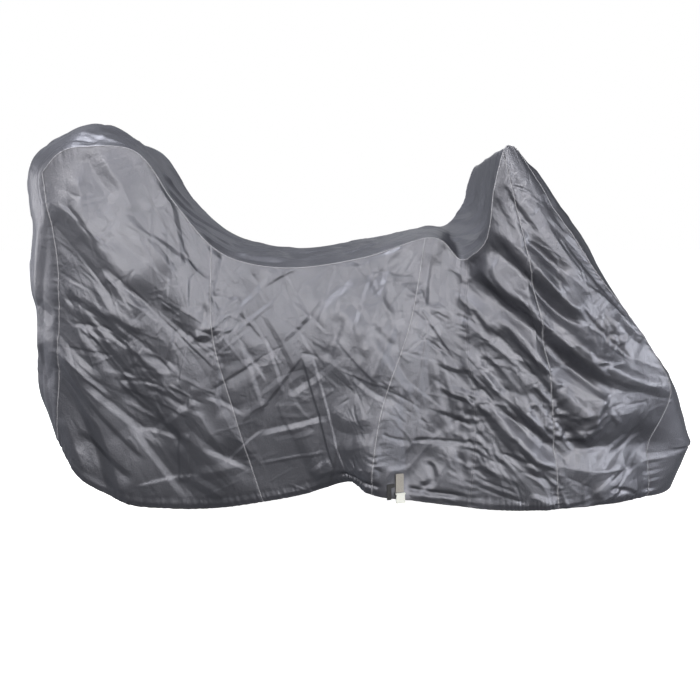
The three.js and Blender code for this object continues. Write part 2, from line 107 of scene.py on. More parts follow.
# The cut of the cover in millimetres above the ground: each station has four levels from the top seam
# to the hem, as (x, half breadth, height), and the rise of the far top edge over the near one.
LEVEL_PLACES = (0.0, 1 / 3, 2 / 3, 1.0)
STATIONS = (
    # name, far rise, top, upper, lower, hem
    ("rearSeam", 0, (-908, 185, 1140), (-870, 215, 870), (-888, 205, 605), (-923, 165, 305)),
    ("rearShoulder", 0, (-848, 200, 1198), (-772, 245, 860), (-770, 245, 540), (-848, 212, 200)),
    ("boxRear", 8, (-778, 210, 1216), (-680, 262, 863), (-654, 250, 497), (-700, 238, 128)),
    ("boxFront", -16, (-630, 210, 1205), (-580, 268, 864), (-552, 250, 500), (-565, 236, 108)),
    ("boxSlope", -28, (-524, 205, 1063), (-487, 268, 760), (-448, 256, 447), (-417, 240, 112)),
    ("saddleSeam", 4, (-414, 200, 927), (-410, 262, 670), (-345, 258, 400), (-270, 240, 132)),
    ("seatRear", 13, (-300, 198, 873), (-260, 248, 640), (-204, 248, 400), (-140, 236, 156)),
    ("tuck", 9, (-136, 196, 862), (-140, 244, 641), (-84, 254, 440), (-3, 252, 208)),
    ("seatFront", 9, (45, 194, 892), (6, 252, 672), (6, 268, 442), (34, 276, 200)),
    ("legSeam", -12, (224, 188, 948), (177, 268, 702), (96, 290, 442), (68, 306, 184)),
    ("hoodSeam", 70, (343, 225, 891), (345, 272, 660), (377, 302, 411), (360, 322, 146)),
    ("ridgeFoot", 58, (393, 305, 962), (443, 308, 695), (483, 322, 414), (460, 334, 141)),
    ("ridgeMid", -40, (404, 335, 1100), (503, 336, 788), (547, 336, 471), (546, 336, 141)),
    ("peakSeam", -80, (425, 345, 1205), (506, 345, 910), (590, 338, 533), (633, 326, 142)),
    ("frontSide", -83, (450, 336, 1221), (624, 326, 896), (780, 306, 523), (790, 284, 140)),
    ("frontSeam", -95, (474, 322, 1204), (700, 290, 885), (983, 200, 490), (950, 165, 121)),
)

# Where the front seam swings back low down: share of the way to the hem, reach in the same share, shift in x.
FRONT_BEND = (0.83, 0.17, -48)

# How far the middle of the centre strip stands out over its two edges.
CROWNS = (
    # run, station or share of the way down, crown
    ("rear", 1.0, 35), ("rear", 0.85, 95), ("rear", 2 / 3, 105), ("rear", 1 / 3, 137), ("rear", 1 / 6, 106),
    ("top", "rearSeam", 80), ("top", "rearShoulder", 56), ("top", "boxRear", 54), ("top", "boxFront", -6),
    ("top", "boxSlope", -20), ("top", "saddleSeam", 12), ("top", "seatRear", 14), ("top", "tuck", 12),
    ("top", "seatFront", 12), ("top", "legSeam", 14), ("top", "hoodSeam", 0), ("top", "ridgeFoot", -25),
    ("top", "ridgeMid", -30), ("top", "peakSeam", -10), ("top", "frontSide", 10), ("top", "frontSeam", 30),
    ("front", 1 / 6, 56), ("front", 1 / 3, 52), ("front", 0.5, 14), ("front", 0.6, 17), ("front", 2 / 3, 47),
    ("front", 0.83, 186), ("front", 1.0, 120),
)

# Main folds of each side, shared with the solids: depth (out is positive), reach above or to the right of the
# path, reach below or to the left, and path as (x, height).
NEAR_FOLDS = (
    (14, 150, 65, ((-930, 1085), (-830, 1035), (-750, 950), (-690, 880), (-640, 820), (-580, 760))),
    (8, 50, 60, ((-860, 850), (-790, 785), (-700, 735), (-610, 690))),
    (14, 160, 90, ((-770, 815), (-705, 720), (-645, 640), (-592, 560), (-550, 470), (-505, 390), (-450, 290),
                   (-405, 180), (-380, 60))),
    (16, 115, 55, ((-870, 730), (-850, 640), (-845, 560), (-810, 490), (-770, 400), (-735, 300), (-715, 215),
                   (-695, 140), (-680, 60))),
    (-10, 45, 60, ((-905, 620), (-895, 545), (-860, 485), (-820, 400), (-785, 300), (-765, 215), (-745, 145),
                   (-735, 80))),
    (-8, 45, 60, ((-555, 520), (-505, 495), (-450, 445), (-390, 335), (-325, 255), (-280, 180))),
    (26, 90, 165, ((35, 830), (40, 770), (50, 670), (60, 575), (70, 475), (70, 365), (80, 260), (85, 185),
                   (90, 100))),
    (6, 26, 60, ((-120, 690), (-60, 745), (0, 795), (40, 830))),
    (10, 24, 45, ((30, 745), (45, 757), (120, 825), (200, 915), (220, 940))),
    (-8, 40, 26, ((10, 790), (95, 862), (165, 935))),
    (-20, 110, 95, ((190, 960), (200, 900), (230, 800), (245, 660), (245, 480), (235, 385), (230, 300))),
    (-16, 60, 60, ((130, 170), (170, 220), (215, 280), (275, 355), (345, 435), (380, 480))),
    (18, 60, 40, ((385, 1015), (405, 995), (465, 930), (510, 885), (550, 845), (605, 800), (655, 755),
                  (715, 710))),
    (-16, 40, 45, ((380, 985), (400, 965), (435, 925), (495, 865), (535, 815), (595, 750), (660, 705))),
    (20, 60, 40, ((340, 890), (425, 840), (470, 805), (525, 770), (570, 720), (630, 660), (700, 605),
                  (770, 525))),
    (-20, 40, 50, ((335, 865), (405, 790), (450, 750), (510, 705), (560, 665), (625, 600), (690, 545),
                   (745, 505))),
    (16, 45, 40, ((420, 740), (475, 690), (535, 615), (590, 550))),
    (-14, 40, 45, ((410, 720), (460, 665), (520, 600), (575, 535))),
    (9, 50, 36, ((580, 710), (675, 645), (770, 580), (885, 525), (985, 490), (1040, 470))),
    (12, 45, 40, ((380, 525), (415, 475), (470, 395), (550, 310), (610, 250))),
    (-12, 40, 40, ((380, 540), (460, 450), (545, 370), (620, 280))),
    (-20, 120, 60, ((580, 420), (635, 345), (700, 325), (765, 315), (845, 310), (915, 320), (960, 340))),
    (10, 40, 80, ((770, 510), (750, 485), (740, 450), (735, 395), (720, 365), (665, 355))),
    (-9, 32, 40, ((480, 975), (525, 935), (570, 895), (620, 845))),
)
FAR_FOLDS = (
    (26, 85, 85, ((-840, 800), (-780, 600), (-690, 420), (-560, 230))),
    (-30, 90, 90, ((-770, 860), (-640, 640), (-520, 450), (-400, 260))),
    (24, 85, 85, ((-690, 900), (-560, 700), (-430, 500))),
    (-28, 105, 105, ((-420, 660), (-300, 500), (-140, 430))),
    (20, 75, 75, ((-60, 800), (60, 640), (110, 480))),
    (22, 75, 75, ((150, 240), (280, 350), (360, 520))),
    (-42, 75, 75, ((385, 900), (500, 780), (620, 640), (760, 560))),
    (28, 75, 75, ((430, 780), (560, 640), (700, 520), (900, 470))),
    (-26, 85, 85, ((480, 470), (620, 330), (830, 290))),
)

# Creases of the near side: height (a trough is negative), reach to the left of the path and
# to its right, seen along it, and path as (x, height above ground). Some run along a main fold to soften it.
NEAR_CREASES = (
    # rear panel
    (-5.5, 40, 60, ((-775, 1205), (-745, 1150), (-715, 1105), (-670, 1065))),
    (7.0, 60, 55, ((-715, 1205), (-695, 1150), (-665, 1110), (-640, 1060), (-620, 1020))),
    (4.4, 50, 45, ((-905, 1075), (-870, 1050), (-830, 1035), (-793, 1005), (-750, 950))),
    (-1.3, 7, 7, ((-745, 950), (-715, 972), (-680, 1012))),
    (-1.0, 6, 6, ((-815, 1078), (-765, 1075), (-740, 1083))),
    (-2.2, 30, 20, ((-880, 960), (-820, 905), (-760, 860), (-720, 815), (-660, 770))),
    (3.9, 18, 18, ((-850, 835), (-800, 778), (-745, 745), (-690, 720))),
    (4.4, 22, 20, ((-765, 840), (-730, 785), (-695, 735), (-650, 705), (-590, 685))),
    (3.3, 15, 18, ((-830, 755), (-765, 715), (-730, 680), (-700, 638))),
    (1.7, 30, 40, ((-855, 775), (-815, 690), (-775, 610), (-735, 540), (-690, 460), (-650, 400), (-610, 350),
                  (-560, 280), (-525, 220))),
    (-1.7, 30, 30, ((-880, 590), (-850, 520), (-830, 450), (-812, 380), (-800, 300))),
    (4.4, 25, 30, ((-895, 400), (-865, 330), (-835, 260), (-815, 215))),
    (-4.4, 40, 45, ((-650, 700), (-605, 655), (-570, 605), (-540, 560), (-500, 520))),
    (-2.8, 15, 12, ((-625, 503), (-560, 487), (-510, 458), (-470, 442), (-430, 423))),
    (1.3, 8, 6, ((-570, 530), (-540, 500), (-500, 460))),
    (-4.4, 30, 25, ((-510, 440), (-495, 400), (-460, 355), (-415, 315), (-360, 270), (-330, 255))),
    (2.8, 25, 25, ((-480, 230), (-420, 240), (-370, 250), (-325, 253))),
    (-1.0, 7, 7, ((-582, 1075), (-580, 950), (-578, 870), (-572, 800), (-568, 690), (-568, 550))),
    (-1.0, 7, 7, ((-535, 1090), (-535, 960), (-530, 860), (-527, 715), (-515, 600), (-505, 450))),
    (1.7, 40, 40, ((-480, 497), (-400, 500), (-360, 498))),
    (-2.2, 30, 15, ((-540, 695), (-480, 670), (-430, 645), (-395, 628))),
    (1.3, 6, 6, ((-490, 900), (-455, 855), (-430, 830))),
    (-1.3, 6, 6, ((-470, 835), (-440, 870))),
    (-1.3, 7, 7, ((-655, 800), (-640, 850), (-625, 870))),
    (3.3, 20, 25, ((-495, 215), (-440, 185), (-390, 150))),
    (1.3, 6, 6, ((-680, 350), (-655, 320), (-650, 290))),
    (15.0, 80, 95, ((-690, 790), (-640, 700), (-575, 620), (-520, 540), (-475, 460), (-430, 380), (-385, 300),
                   (-345, 220))),
    (6.0, 40, 70, ((-820, 930), (-740, 830), (-680, 775), (-610, 730))),
    # seat panel
    (-2.2, 14, 20, ((-405, 670), (-395, 620), (-380, 570))),
    (-1.8, 8, 8, ((-300, 850), (-272, 812), (-252, 770), (-233, 752))),
    (-1.1, 15, 15, ((-330, 830), (-300, 790), (-260, 760))),
    (1.7, 8, 8, ((-355, 655), (-300, 705), (-250, 745), (-225, 762), (-203, 800))),
    (-2.2, 16, 14, ((-192, 838), (-190, 800), (-168, 750), (-150, 712), (-135, 670))),
    (0.8, 28, 40, ((-132, 700), (-90, 730), (-40, 772), (-5, 800))),
    (2.2, 16, 20, ((-125, 792), (-92, 828), (-52, 872))),
    (-2.2, 30, 30, ((-385, 590), (-330, 590), (-270, 605), (-235, 600))),
    (1.7, 25, 25, ((-310, 540), (-255, 575), (-205, 610))),
    (1.7, 14, 25, ((-275, 468), (-230, 507), (-190, 540))),
    (-1.5, 7, 7, ((-150, 608), (-120, 606), (-95, 596))),
    (2.2, 12, 15, ((-150, 682), (-142, 645), (-122, 612))),
    (1.3, 8, 8, ((-290, 260), (-200, 275), (-120, 292), (-55, 308))),
    (3.3, 12, 35, ((-125, 225), (-90, 255), (-55, 282))),
    (1.3, 6, 6, ((-190, 192), (-150, 175), (-110, 160))),
    (-2.2, 16, 14, ((50, 590), (22, 550), (5, 515), (3, 480), (-10, 432), (-20, 395))),
    (-1.3, 6, 6, ((-50, 430), (-25, 458), (3, 480))),
    (-1.5, 7, 7, ((15, 470), (20, 438), (37, 402), (50, 377))),
    (2.2, 20, 25, ((-15, 320), (15, 337), (52, 360))),
    (1.3, 6, 7, ((-38, 840), (5, 800), (45, 752))),
    (2.0, 22, 14, ((45, 757), (85, 782), (120, 825), (148, 868), (198, 915))),
    (1.3, 6, 6, ((165, 850), (185, 880), (200, 915))),
    (1.3, 6, 6, ((200, 830), (215, 890))),
    (1.3, 6, 6, ((225, 870), (228, 895))),
    (-1.5, 7, 7, ((60, 852), (110, 850), (150, 845), (200, 850))),
    (-1.3, 7, 6, ((48, 770), (65, 810), (88, 850))),
    (-1.7, 20, 12, ((42, 752), (42, 705), (55, 655), (60, 640))),
    (1.1, 20, 30, ((38, 735), (42, 690), (55, 640), (57, 560), (62, 490), (72, 400), (77, 345))),
    (-10.0, 24, 45, ((30, 745), (45, 757), (120, 825), (200, 915), (220, 940))),
    (8.0, 40, 26, ((10, 790), (95, 862), (165, 935))),
    (4.5, 65, 40, ((-85, 600), (-20, 562), (50, 535))),
    (6.5, 80, 42, ((-62, 448), (5, 412), (78, 428))),
    (4.0, 50, 34, ((-48, 318), (15, 326), (90, 352))),
    (14.0, 260, 45, ((-130, 215), (-70, 240), (0, 255), (60, 265), (110, 270))),
    # leg panel
    (-1.5, 7, 7, ((185, 685), (230, 655), (285, 618), (345, 578))),
    (-1.5, 7, 7, ((252, 668), (280, 635), (340, 590))),
    (-1.7, 40, 40, ((245, 850), (243, 760), (245, 650), (245, 560))),
    (2.2, 18, 22, ((262, 845), (285, 790), (300, 730), (305, 690))),
    (-2.2, 18, 18, ((318, 830), (322, 780), (322, 720), (320, 690))),
    (-1.3, 6, 6, ((258, 738), (300, 712))),
    (-1.3, 6, 6, ((310, 700), (345, 690))),
    (-3.3, 12, 12, ((348, 755), (382, 717), (397, 685), (418, 657))),
    (-1.3, 6, 6, ((88, 527), (115, 505), (152, 485), (200, 455), (225, 435))),
    (1.3, 6, 6, ((113, 485), (132, 460), (155, 425), (172, 400))),
    (-1.5, 7, 7, ((93, 383), (118, 367), (145, 357), (172, 352))),
    (2.8, 45, 30, ((158, 352), (147, 310), (137, 268))),
    (-3.3, 10, 10, ((172, 350), (250, 350), (315, 346), (385, 345))),
    (1.8, 8, 8, ((157, 240), (182, 268), (207, 300), (232, 330), (255, 358), (290, 385))),
    (-8.8, 16, 16, ((232, 288), (248, 262), (252, 235), (240, 215), (205, 207))),
    (1.5, 7, 7, ((238, 292), (262, 268), (272, 238), (262, 212))),
    (1.3, 6, 6, ((275, 335), (290, 305), (302, 272))),
    (2.8, 25, 20, ((357, 295), (345, 255), (330, 205), (322, 170))),
    (-3.3, 12, 14, ((300, 390), (330, 415), (365, 447))),
    (-1.5, 7, 7, ((270, 577), (300, 553), (322, 533))),
    (-1.5, 7, 7, ((355, 580), (380, 548), (410, 522))),
    (12.0, 60, 60, ((230, 300), (290, 370), (345, 435), (400, 505))),
    (-8.0, 60, 70, ((110, 250), (160, 300), (230, 355), (300, 410))),
    (6.0, 55, 14, ((255, 600), (310, 572), (365, 566))),
    (6.5, 55, 14, ((262, 520), (318, 492), (372, 482))),
    (5.5, 50, 13, ((268, 448), (320, 428), (368, 414))),
    # hood panel
    (-2.8, 22, 8, ((447, 1120), (470, 1116), (490, 1108))),
    (1.3, 6, 6, ((450, 1112), (470, 1110), (500, 1095), (517, 1088))),
    (3.3, 30, 30, ((488, 1075), (505, 1055), (525, 1035))),
    (-3.9, 14, 16, ((407, 1082), (425, 1045), (440, 1017), (455, 990), (470, 962), (482, 952))),
    (-3.3, 20, 16, ((398, 985), (455, 920), (500, 880), (535, 825), (580, 765), (640, 720), (695, 706))),
    (3.9, 25, 20, ((515, 880), (560, 838), (600, 803), (648, 767), (697, 715))),
    (3.9, 22, 12, ((398, 992), (415, 935), (425, 895), (418, 875), (445, 830), (470, 805), (500, 785),
                 (535, 765))),
    (4.4, 26, 22, ((540, 795), (567, 757), (602, 720), (637, 690), (670, 660), (703, 628), (752, 597),
                 (790, 565), (845, 535), (895, 512), (985, 495))),
    (-3.3, 20, 16, ((385, 815), (430, 765), (490, 718), (540, 693), (580, 665), (610, 630), (655, 595),
                   (705, 555), (762, 525))),
    (1.3, 8, 6, ((533, 768), (555, 750), (585, 705), (618, 670), (650, 635), (697, 605), (730, 580),
                 (765, 525))),
    (-3.3, 16, 16, ((397, 745), (425, 712), (462, 680), (500, 636), (535, 602), (565, 568), (592, 533))),
    (3.3, 24, 16, ((455, 720), (485, 685), (520, 645), (555, 603), (585, 572))),
    (-1.3, 6, 6, ((378, 665), (400, 657), (420, 655), (432, 680))),
    (1.5, 8, 7, ((418, 645), (408, 580))),
    (-1.3, 7, 6, ((383, 655), (398, 620), (397, 565))),
    (-1.3, 6, 6, ((500, 565), (550, 562))),
    (-1.3, 6, 6, ((515, 522), (565, 548))),
    (-1.3, 6, 6, ((520, 445), (555, 470))),
    (-4.4, 14, 14, ((600, 525), (648, 520), (672, 500))),
    (-3.3, 14, 16, ((352, 590), (395, 540), (432, 503), (465, 470), (505, 428), (547, 390), (590, 355),
                  (618, 333))),
    (2.2, 18, 16, ((407, 465), (435, 430), (470, 395), (507, 355), (545, 315), (592, 285), (632, 258))),
    (-1.8, 8, 8, ((455, 450), (498, 405), (542, 358), (580, 320))),
    (-3.3, 10, 14, ((445, 320), (505, 300), (570, 283), (635, 250))),
    (-1.5, 7, 7, ((505, 268), (552, 252), (605, 235))),
    (-1.3, 6, 6, ((372, 247), (418, 228), (465, 213), (508, 195))),
    (-1.3, 6, 6, ((372, 220), (420, 200), (495, 175), (548, 163))),
    (1.5, 8, 7, ((372, 233), (420, 214), (470, 197), (515, 183))),
    (1.3, 6, 6, ((395, 330), (415, 300), (425, 270))),
    (-1.3, 6, 6, ((378, 330), (400, 290), (412, 262))),
    (1.3, 6, 6, ((372, 300), (388, 270))),
    # front panel
    (8.0, 75, 24, ((570, 690), (650, 632), (730, 572), (810, 532), (890, 505))),
    (7.0, 60, 14, ((618, 448), (668, 432), (718, 446))),
    (7.0, 60, 14, ((612, 378), (660, 362), (708, 374))),
    (9.0, 110, 30, ((730, 178), (800, 168), (860, 164), (925, 168))),
    (-5.5, 16, 16, ((493, 960), (520, 940), (550, 915), (573, 893), (585, 885))),
    (1.5, 7, 7, ((498, 968), (540, 945), (575, 920), (597, 885), (600, 868))),
    (1.3, 6, 6, ((588, 987), (593, 965), (588, 930))),
    (1.3, 6, 6, ((602, 895), (600, 800))),
    (1.3, 6, 6, ((662, 905), (677, 850), (688, 805), (698, 775))),
    (1.3, 6, 6, ((685, 805), (668, 775), (655, 760))),
    (1.3, 6, 6, ((722, 800), (720, 755), (718, 715))),
    (1.3, 6, 6, ((697, 708), (685, 670))),
    (1.3, 6, 6, ((697, 708), (720, 735))),
    (-1.8, 8, 8, ((705, 630), (755, 615), (770, 608))),
    (13.0, 24, 110, ((768, 520), (745, 480), (728, 440), (728, 400), (705, 372), (665, 350))),
    (-1.7, 40, 30, ((615, 365), (672, 350), (735, 327), (800, 320), (890, 320))),
    (1.7, 25, 25, ((640, 270), (690, 262), (745, 247), (800, 262), (850, 282), (905, 308))),
    (-3.3, 20, 20, ((785, 210), (840, 245), (895, 280))),
    (-4.4, 10, 10, ((787, 195), (828, 185), (870, 165), (900, 140))),
    (-1.3, 6, 7, ((640, 250), (690, 225), (740, 200))),
)

# Flat pleats of the near side: height, half width of the flat, reach of its edges, path.
NEAR_PLEATS = (
    (4.5, 13, 7, ((-132, 612), (-118, 560), (-95, 480), (-72, 400), (-48, 310), (-20, 240))),
    (3, 12, 8, ((-503, 370), (-510, 300), (-512, 230), (-515, 190))),
)

# Crumpled patches of a side: x, height, half width, half height, direction and its spread in degrees,
# number of creases, their length, height and reach.
NEAR_CRUMPLES = (
    (-630, 540, 90, 90, -45, 40, 18, 120, 2.0, 11),
    (-390, 660, 60, 80, 30, 60, 14, 90, 1.8, 10),
    (-160, 450, 90, 120, -20, 60, 16, 90, 1.2, 10),
    (470, 585, 70, 50, -30, 50, 14, 100, 2.0, 10),
    (745, 650, 70, 70, 35, 70, 18, 90, 2.0, 10),
    (750, 755, 65, 90, 60, 50, 12, 100, 1.6, 10),
    (680, 440, 85, 85, 20, 80, 22, 100, 2.4, 11),
    (410, 300, 50, 70, -60, 25, 12, 100, 2.4, 10),
    (370, 430, 40, 110, -50, 40, 20, 80, 2.6, 10),
    (-780, 700, 100, 100, -40, 35, 16, 130, 2.0, 12),
)

# Flat facets of a side, each with one steep flank and one broad one: count, x from and to, height from and
# to, length, reach of the broad flank, its slope, direction and its spread in degrees.
SIDE_FACETS = (
    (16, (-900, -500), (250, 800), (160, 420), (35, 75), (0.09, 0.18), -52, 12),
    (8, (-780, -480), (820, 1150), (120, 300), (30, 60), (0.06, 0.12), -60, 30),
    (12, (-600, -380), (430, 900), (90, 260), (25, 55), (0.07, 0.16), 85, 12),
    (9, (-420, -60), (480, 850), (110, 280), (30, 60), (0.05, 0.11), 42, 16),
    (7, (-420, -60), (480, 850), (100, 260), (25, 55), (0.05, 0.11), -58, 16),
    (8, (-600, -80), (160, 480), (120, 260), (35, 70), (0.05, 0.10), 10, 40),
    (12, (-80, 220), (220, 850), (140, 340), (30, 60), (0.07, 0.16), 80, 14),
    (10, (0, 330), (420, 900), (100, 260), (20, 50), (0.07, 0.16), -50, 18),
    (10, (200, 345), (300, 880), (140, 320), (25, 55), (0.09, 0.18), 92, 10),
    (26, (370, 640), (260, 1080), (120, 320), (20, 50), (0.10, 0.22), -46, 10),
    (10, (360, 640), (160, 520), (90, 220), (18, 40), (0.09, 0.19), -40, 20),
    (16, (560, 820), (480, 980), (120, 300), (22, 55), (0.07, 0.16), -48, 14),
    (10, (600, 940), (150, 400), (90, 220), (20, 50), (0.07, 0.16), 25, 25),
)

# Loose wrinkles of a side: count, x from and to, height from and to, length, reach, slope of the flanks,
# direction and its spread in degrees, and bend.
LOOSE_WRINKLES = (
    (22, (-920, -400), (430, 1180), (120, 380), (20, 60), (0.015, 0.05), -52, 22, 0.04),
    (10, (-920, -400), (120, 430), (120, 300), (30, 70), (0.01, 0.03), -55, 20, 0.04),
    (8, (-420, 230), (450, 900), (100, 320), (18, 50), (0.02, 0.06), -60, 35, 0.04),
    (8, (-420, 230), (450, 900), (80, 260), (16, 44), (0.02, 0.06), 40, 30, 0.04),
    (10, (-420, 230), (150, 450), (100, 260), (30, 60), (0.01, 0.03), 40, 40, 0.04),
    (24, (200, 680), (130, 1150), (90, 300), (14, 40), (0.03, 0.09), -45, 22, 0.04),
    (12, (200, 680), (130, 900), (60, 200), (12, 36), (0.03, 0.08), 40, 35, 0.04),
    (20, (560, 1000), (130, 900), (90, 300), (14, 50), (0.02, 0.06), -50, 25, 0.04),
    (70, (-920, -400), (450, 1000), (60, 220), (4, 8), (0.06, 0.18), -50, 30, 0.02),
    (24, (-920, -400), (120, 450), (60, 200), (4, 8), (0.04, 0.10), -55, 25, 0.02),
    (34, (-920, -400), (500, 1180), (40, 140), (4, 8), (0.05, 0.14), 50, 40, 0.02),
    (56, (-420, 230), (480, 900), (50, 190), (4, 8), (0.06, 0.16), -55, 40, 0.02),
    (56, (-420, 230), (480, 900), (40, 170), (4, 8), (0.06, 0.16), 40, 35, 0.02),
    (20, (-420, -20), (150, 480), (50, 170), (4, 8), (0.03, 0.09), 40, 40, 0.02),
    (40, (-20, 230), (180, 480), (40, 150), (4, 8), (0.05, 0.14), -60, 40, 0.02),
    (150, (200, 680), (130, 1150), (40, 160), (4, 9), (0.06, 0.20), -45, 35, 0.02),
    (80, (560, 1000), (130, 900), (40, 160), (4, 9), (0.05, 0.16), 60, 60, 0.02),
    (200, (-930, 1000), (450, 1200), (10, 40), (3.5, 7), (0.05, 0.14), 0, 90, 0.06),
    (120, (0, 1000), (120, 450), (10, 40), (3.5, 7), (0.05, 0.14), 0, 90, 0.06),
)
# The same for the centre strip, along it and across it.
STRIP_WRINKLES = (
    (220, (0, 4600), (0, 680), (60, 260), (14, 45), (0.03, 0.12), 0, 90, 0.04),
    (300, (0, 4600), (0, 680), (16, 70), (5, 13), (0.04, 0.10), 0, 90, 0.08),
)
# Facets of the centre strip: the rear, the box top, the box front, the saddle, the hood, the front and its
# low end.
STRIP_FACETS = (
    (16, (60, 1000), (10, 330), (200, 520), (25, 60), (0.06, 0.15), 0, 14),
    (12, (1000, 1340), (10, 330), (80, 220), (20, 50), (0.08, 0.18), 30, 50),
    (14, (1340, 1740), (10, 330), (140, 380), (20, 50), (0.10, 0.22), 4, 12),
    (14, (1760, 2540), (10, 330), (90, 260), (20, 50), (0.06, 0.14), 0, 60),
    (16, (2560, 2930), (10, 330), (140, 340), (20, 45), (0.14, 0.32), 4, 16),
    (14, (2960, 3800), (10, 330), (140, 400), (25, 60), (0.06, 0.14), 10, 40),
    (16, (3750, 4340), (10, 260), (90, 240), (20, 50), (0.12, 0.26), 60, 40),
)

# Puckers along each seam: station, height, spacing, reach to either side, and depth of the seam's groove.
# Below, the same without a groove for the top edge.
SEAM_PUCKERS = (
    ("rearSeam", 1.4, 16, 16, 1.3),
    ("saddleSeam", 1.0, 23, 18, 1.0),
    ("tuck", 0.5, 20, 16, 0.0),
    ("legSeam", 1.4, 19, 18, 1.0),
    ("hoodSeam", 2.4, 22, 30, 0.3),
    ("peakSeam", 1.8, 17, 18, 1.2),
    ("frontSeam", 1.6, 18, 16, 1.2),
)
TOP_PUCKER = (0.9, 24, 18)
SEAM_GROOVE_REACH = 5.0

# Waves of puckers and gathers: slant away from the seam, the top edge and the hem; how many reaches a seam's
# puckers are worked out for; length of their stronger runs in spacings; least and varying strength; and a
# spare length of wave.
SEAM_SLANT = 0.25
TOP_SLANT = 0.2
HEM_SLANT = 0.1
PUCKER_REACHES = 4
PUCKER_RUN = 5
PUCKER_STRENGTH = (0.7, 0.5)
WAVE_SPARE = 200

# The elastic hem: width of the casing; depth, spacing and rise of the gathers; the groove above it, which is
# deep along one run; how far its edge curls in; and its turned-up inside with the rows of that.
HEM_WIDTH = 34.0
HEM_GATHER = 1.6
HEM_GATHER_SPACING = 14.0
HEM_GATHER_RISE = 1.5
HEM_GROOVE_REACH = 8.0
HEM_GROOVE_PLAIN = 0.7
HEM_GROOVE_DEEP = 7.0
HEM_DEEP_RUN = (-45, 350)
HEM_DEEP_ONSET = 40
HEM_CURL = 4.0
HEM_CURL_REACH = 20.0
HEM_INSET = 2.0
HEM_TURN = 22.0
HEM_TURN_ROWS = 4

# Creases of the centre strip: piece, height, reach on either side of the path, path as shares of the
# piece's length and of its breadth from the near edge.
STRIP_CREASES = (
    ("strip_rear", 9, 45, 30, ((0.02, 0.30), (0.20, 0.22), (0.40, 0.12), (0.52, 0.05))),
    ("strip_rear", -8, 35, 40, ((0.05, 0.62), (0.22, 0.50), (0.42, 0.40), (0.50, 0.34))),
    ("strip_rear", 6, 30, 30, ((0.55, 0.15), (0.60, 0.45), (0.62, 0.80))),
    ("strip_rear", -5, 25, 25, ((0.66, 0.05), (0.69, 0.35), (0.72, 0.60), (0.73, 0.90))),
    ("strip_rear", 5, 35, 25, ((0.74, 0.10), (0.86, 0.16), (0.98, 0.14))),
    ("strip_rear", -6, 30, 60, ((0.75, 0.34), (0.86, 0.36), (0.97, 0.30))),
    ("strip_saddle", 3, 25, 25, ((0.10, 0.1), (0.25, 0.5), (0.40, 0.9))),
    ("strip_saddle", -3, 20, 20, ((0.50, 0.1), (0.62, 0.5), (0.70, 0.9))),
    ("strip_hood", 9, 28, 34, ((0.10, 0.22), (0.50, 0.20), (0.92, 0.10))),
    ("strip_hood", -8, 40, 40, ((0.08, 0.45), (0.50, 0.42), (0.90, 0.35))),
    ("strip_hood", 7, 40, 40, ((0.10, 0.72), (0.50, 0.66), (0.88, 0.70))),
    ("strip_front", -7, 14, 14, ((0.66, 0.02), (0.75, 0.22), (0.84, 0.50), (0.90, 0.72))),
    ("strip_front", 6, 25, 25, ((0.63, 0.06), (0.72, 0.40), (0.80, 0.80))),
    ("strip_front", -4, 10, 14, ((0.88, 0.05), (0.90, 0.40), (0.90, 0.90))),
    ("strip_front", 5, 60, 60, ((0.10, 0.30), (0.30, 0.45), (0.50, 0.60))),
)

# Where the strap lies on the cloth: x and height from and to, and the run over which the creases come back.
STRAP_REST = ((100, 168), (158, 256), 26.0)

PANELS = (
    # piece, first station, last station, cut width and length in metres, cut area in square metres
    ("rear_panel", "rearSeam", "saddleSeam", 0.74, 1.12, 0.59),
    ("seat_panel", "saddleSeam", "legSeam", 0.64, 0.82, 0.39),
    ("leg_panel", "legSeam", "hoodSeam", 0.34, 0.82, 0.19),
    ("hood_panel", "hoodSeam", "peakSeam", 0.32, 1.14, 0.23),
    ("front_panel", "peakSeam", "frontSeam", 0.52, 1.24, 0.33),
)

STRIP_PIECES = (
    # piece, station where it ends, cut width and length in metres, cut area in square metres
    ("strip_rear", "saddleSeam", 0.54, 1.76, 0.73),
    ("strip_saddle", "hoodSeam", 0.46, 0.80, 0.29),
    ("strip_hood", "peakSeam", 0.70, 0.38, 0.18),
    ("strip_front", None, 0.72, 1.42, 0.72),
)

# Looks: dark and light tone of each material, and the cloth's tone at a grazing angle.
CLOTH_TONES = ((0.100, 0.102, 0.119), (0.124, 0.126, 0.145))
EDGE_TINT = (0.35, 0.35, 0.37, 1.0)
BINDING_TONES = ((0.16, 0.16, 0.18), (0.30, 0.30, 0.33))
THREAD_TONES = ((0.16, 0.16, 0.18), (0.26, 0.26, 0.28))
FLOOR_TONES = ((0.93, 0.93, 0.93), (0.95, 0.95, 0.95))
STRAP_LOOKS = (
    # solid, material, dark and light tone, scale of the grain, roughness
    ("strap_webbing", "webbing", (0.16, 0.15, 0.14), (0.24, 0.23, 0.21), 900.0, 0.75),
    ("strap_buckle", "buckle_plastic", (0.48, 0.49, 0.47), (0.56, 0.57, 0.54), 500.0, 0.35),
    # The elastic tab's near-black tone is partly painted shade: it makes the tab as dark as the shaded gap in
    # the hem beside the strap.
    ("elastic_tab", "elastic", (0.01, 0.01, 0.011), (0.022, 0.022, 0.024), 900.0, 0.8),
)

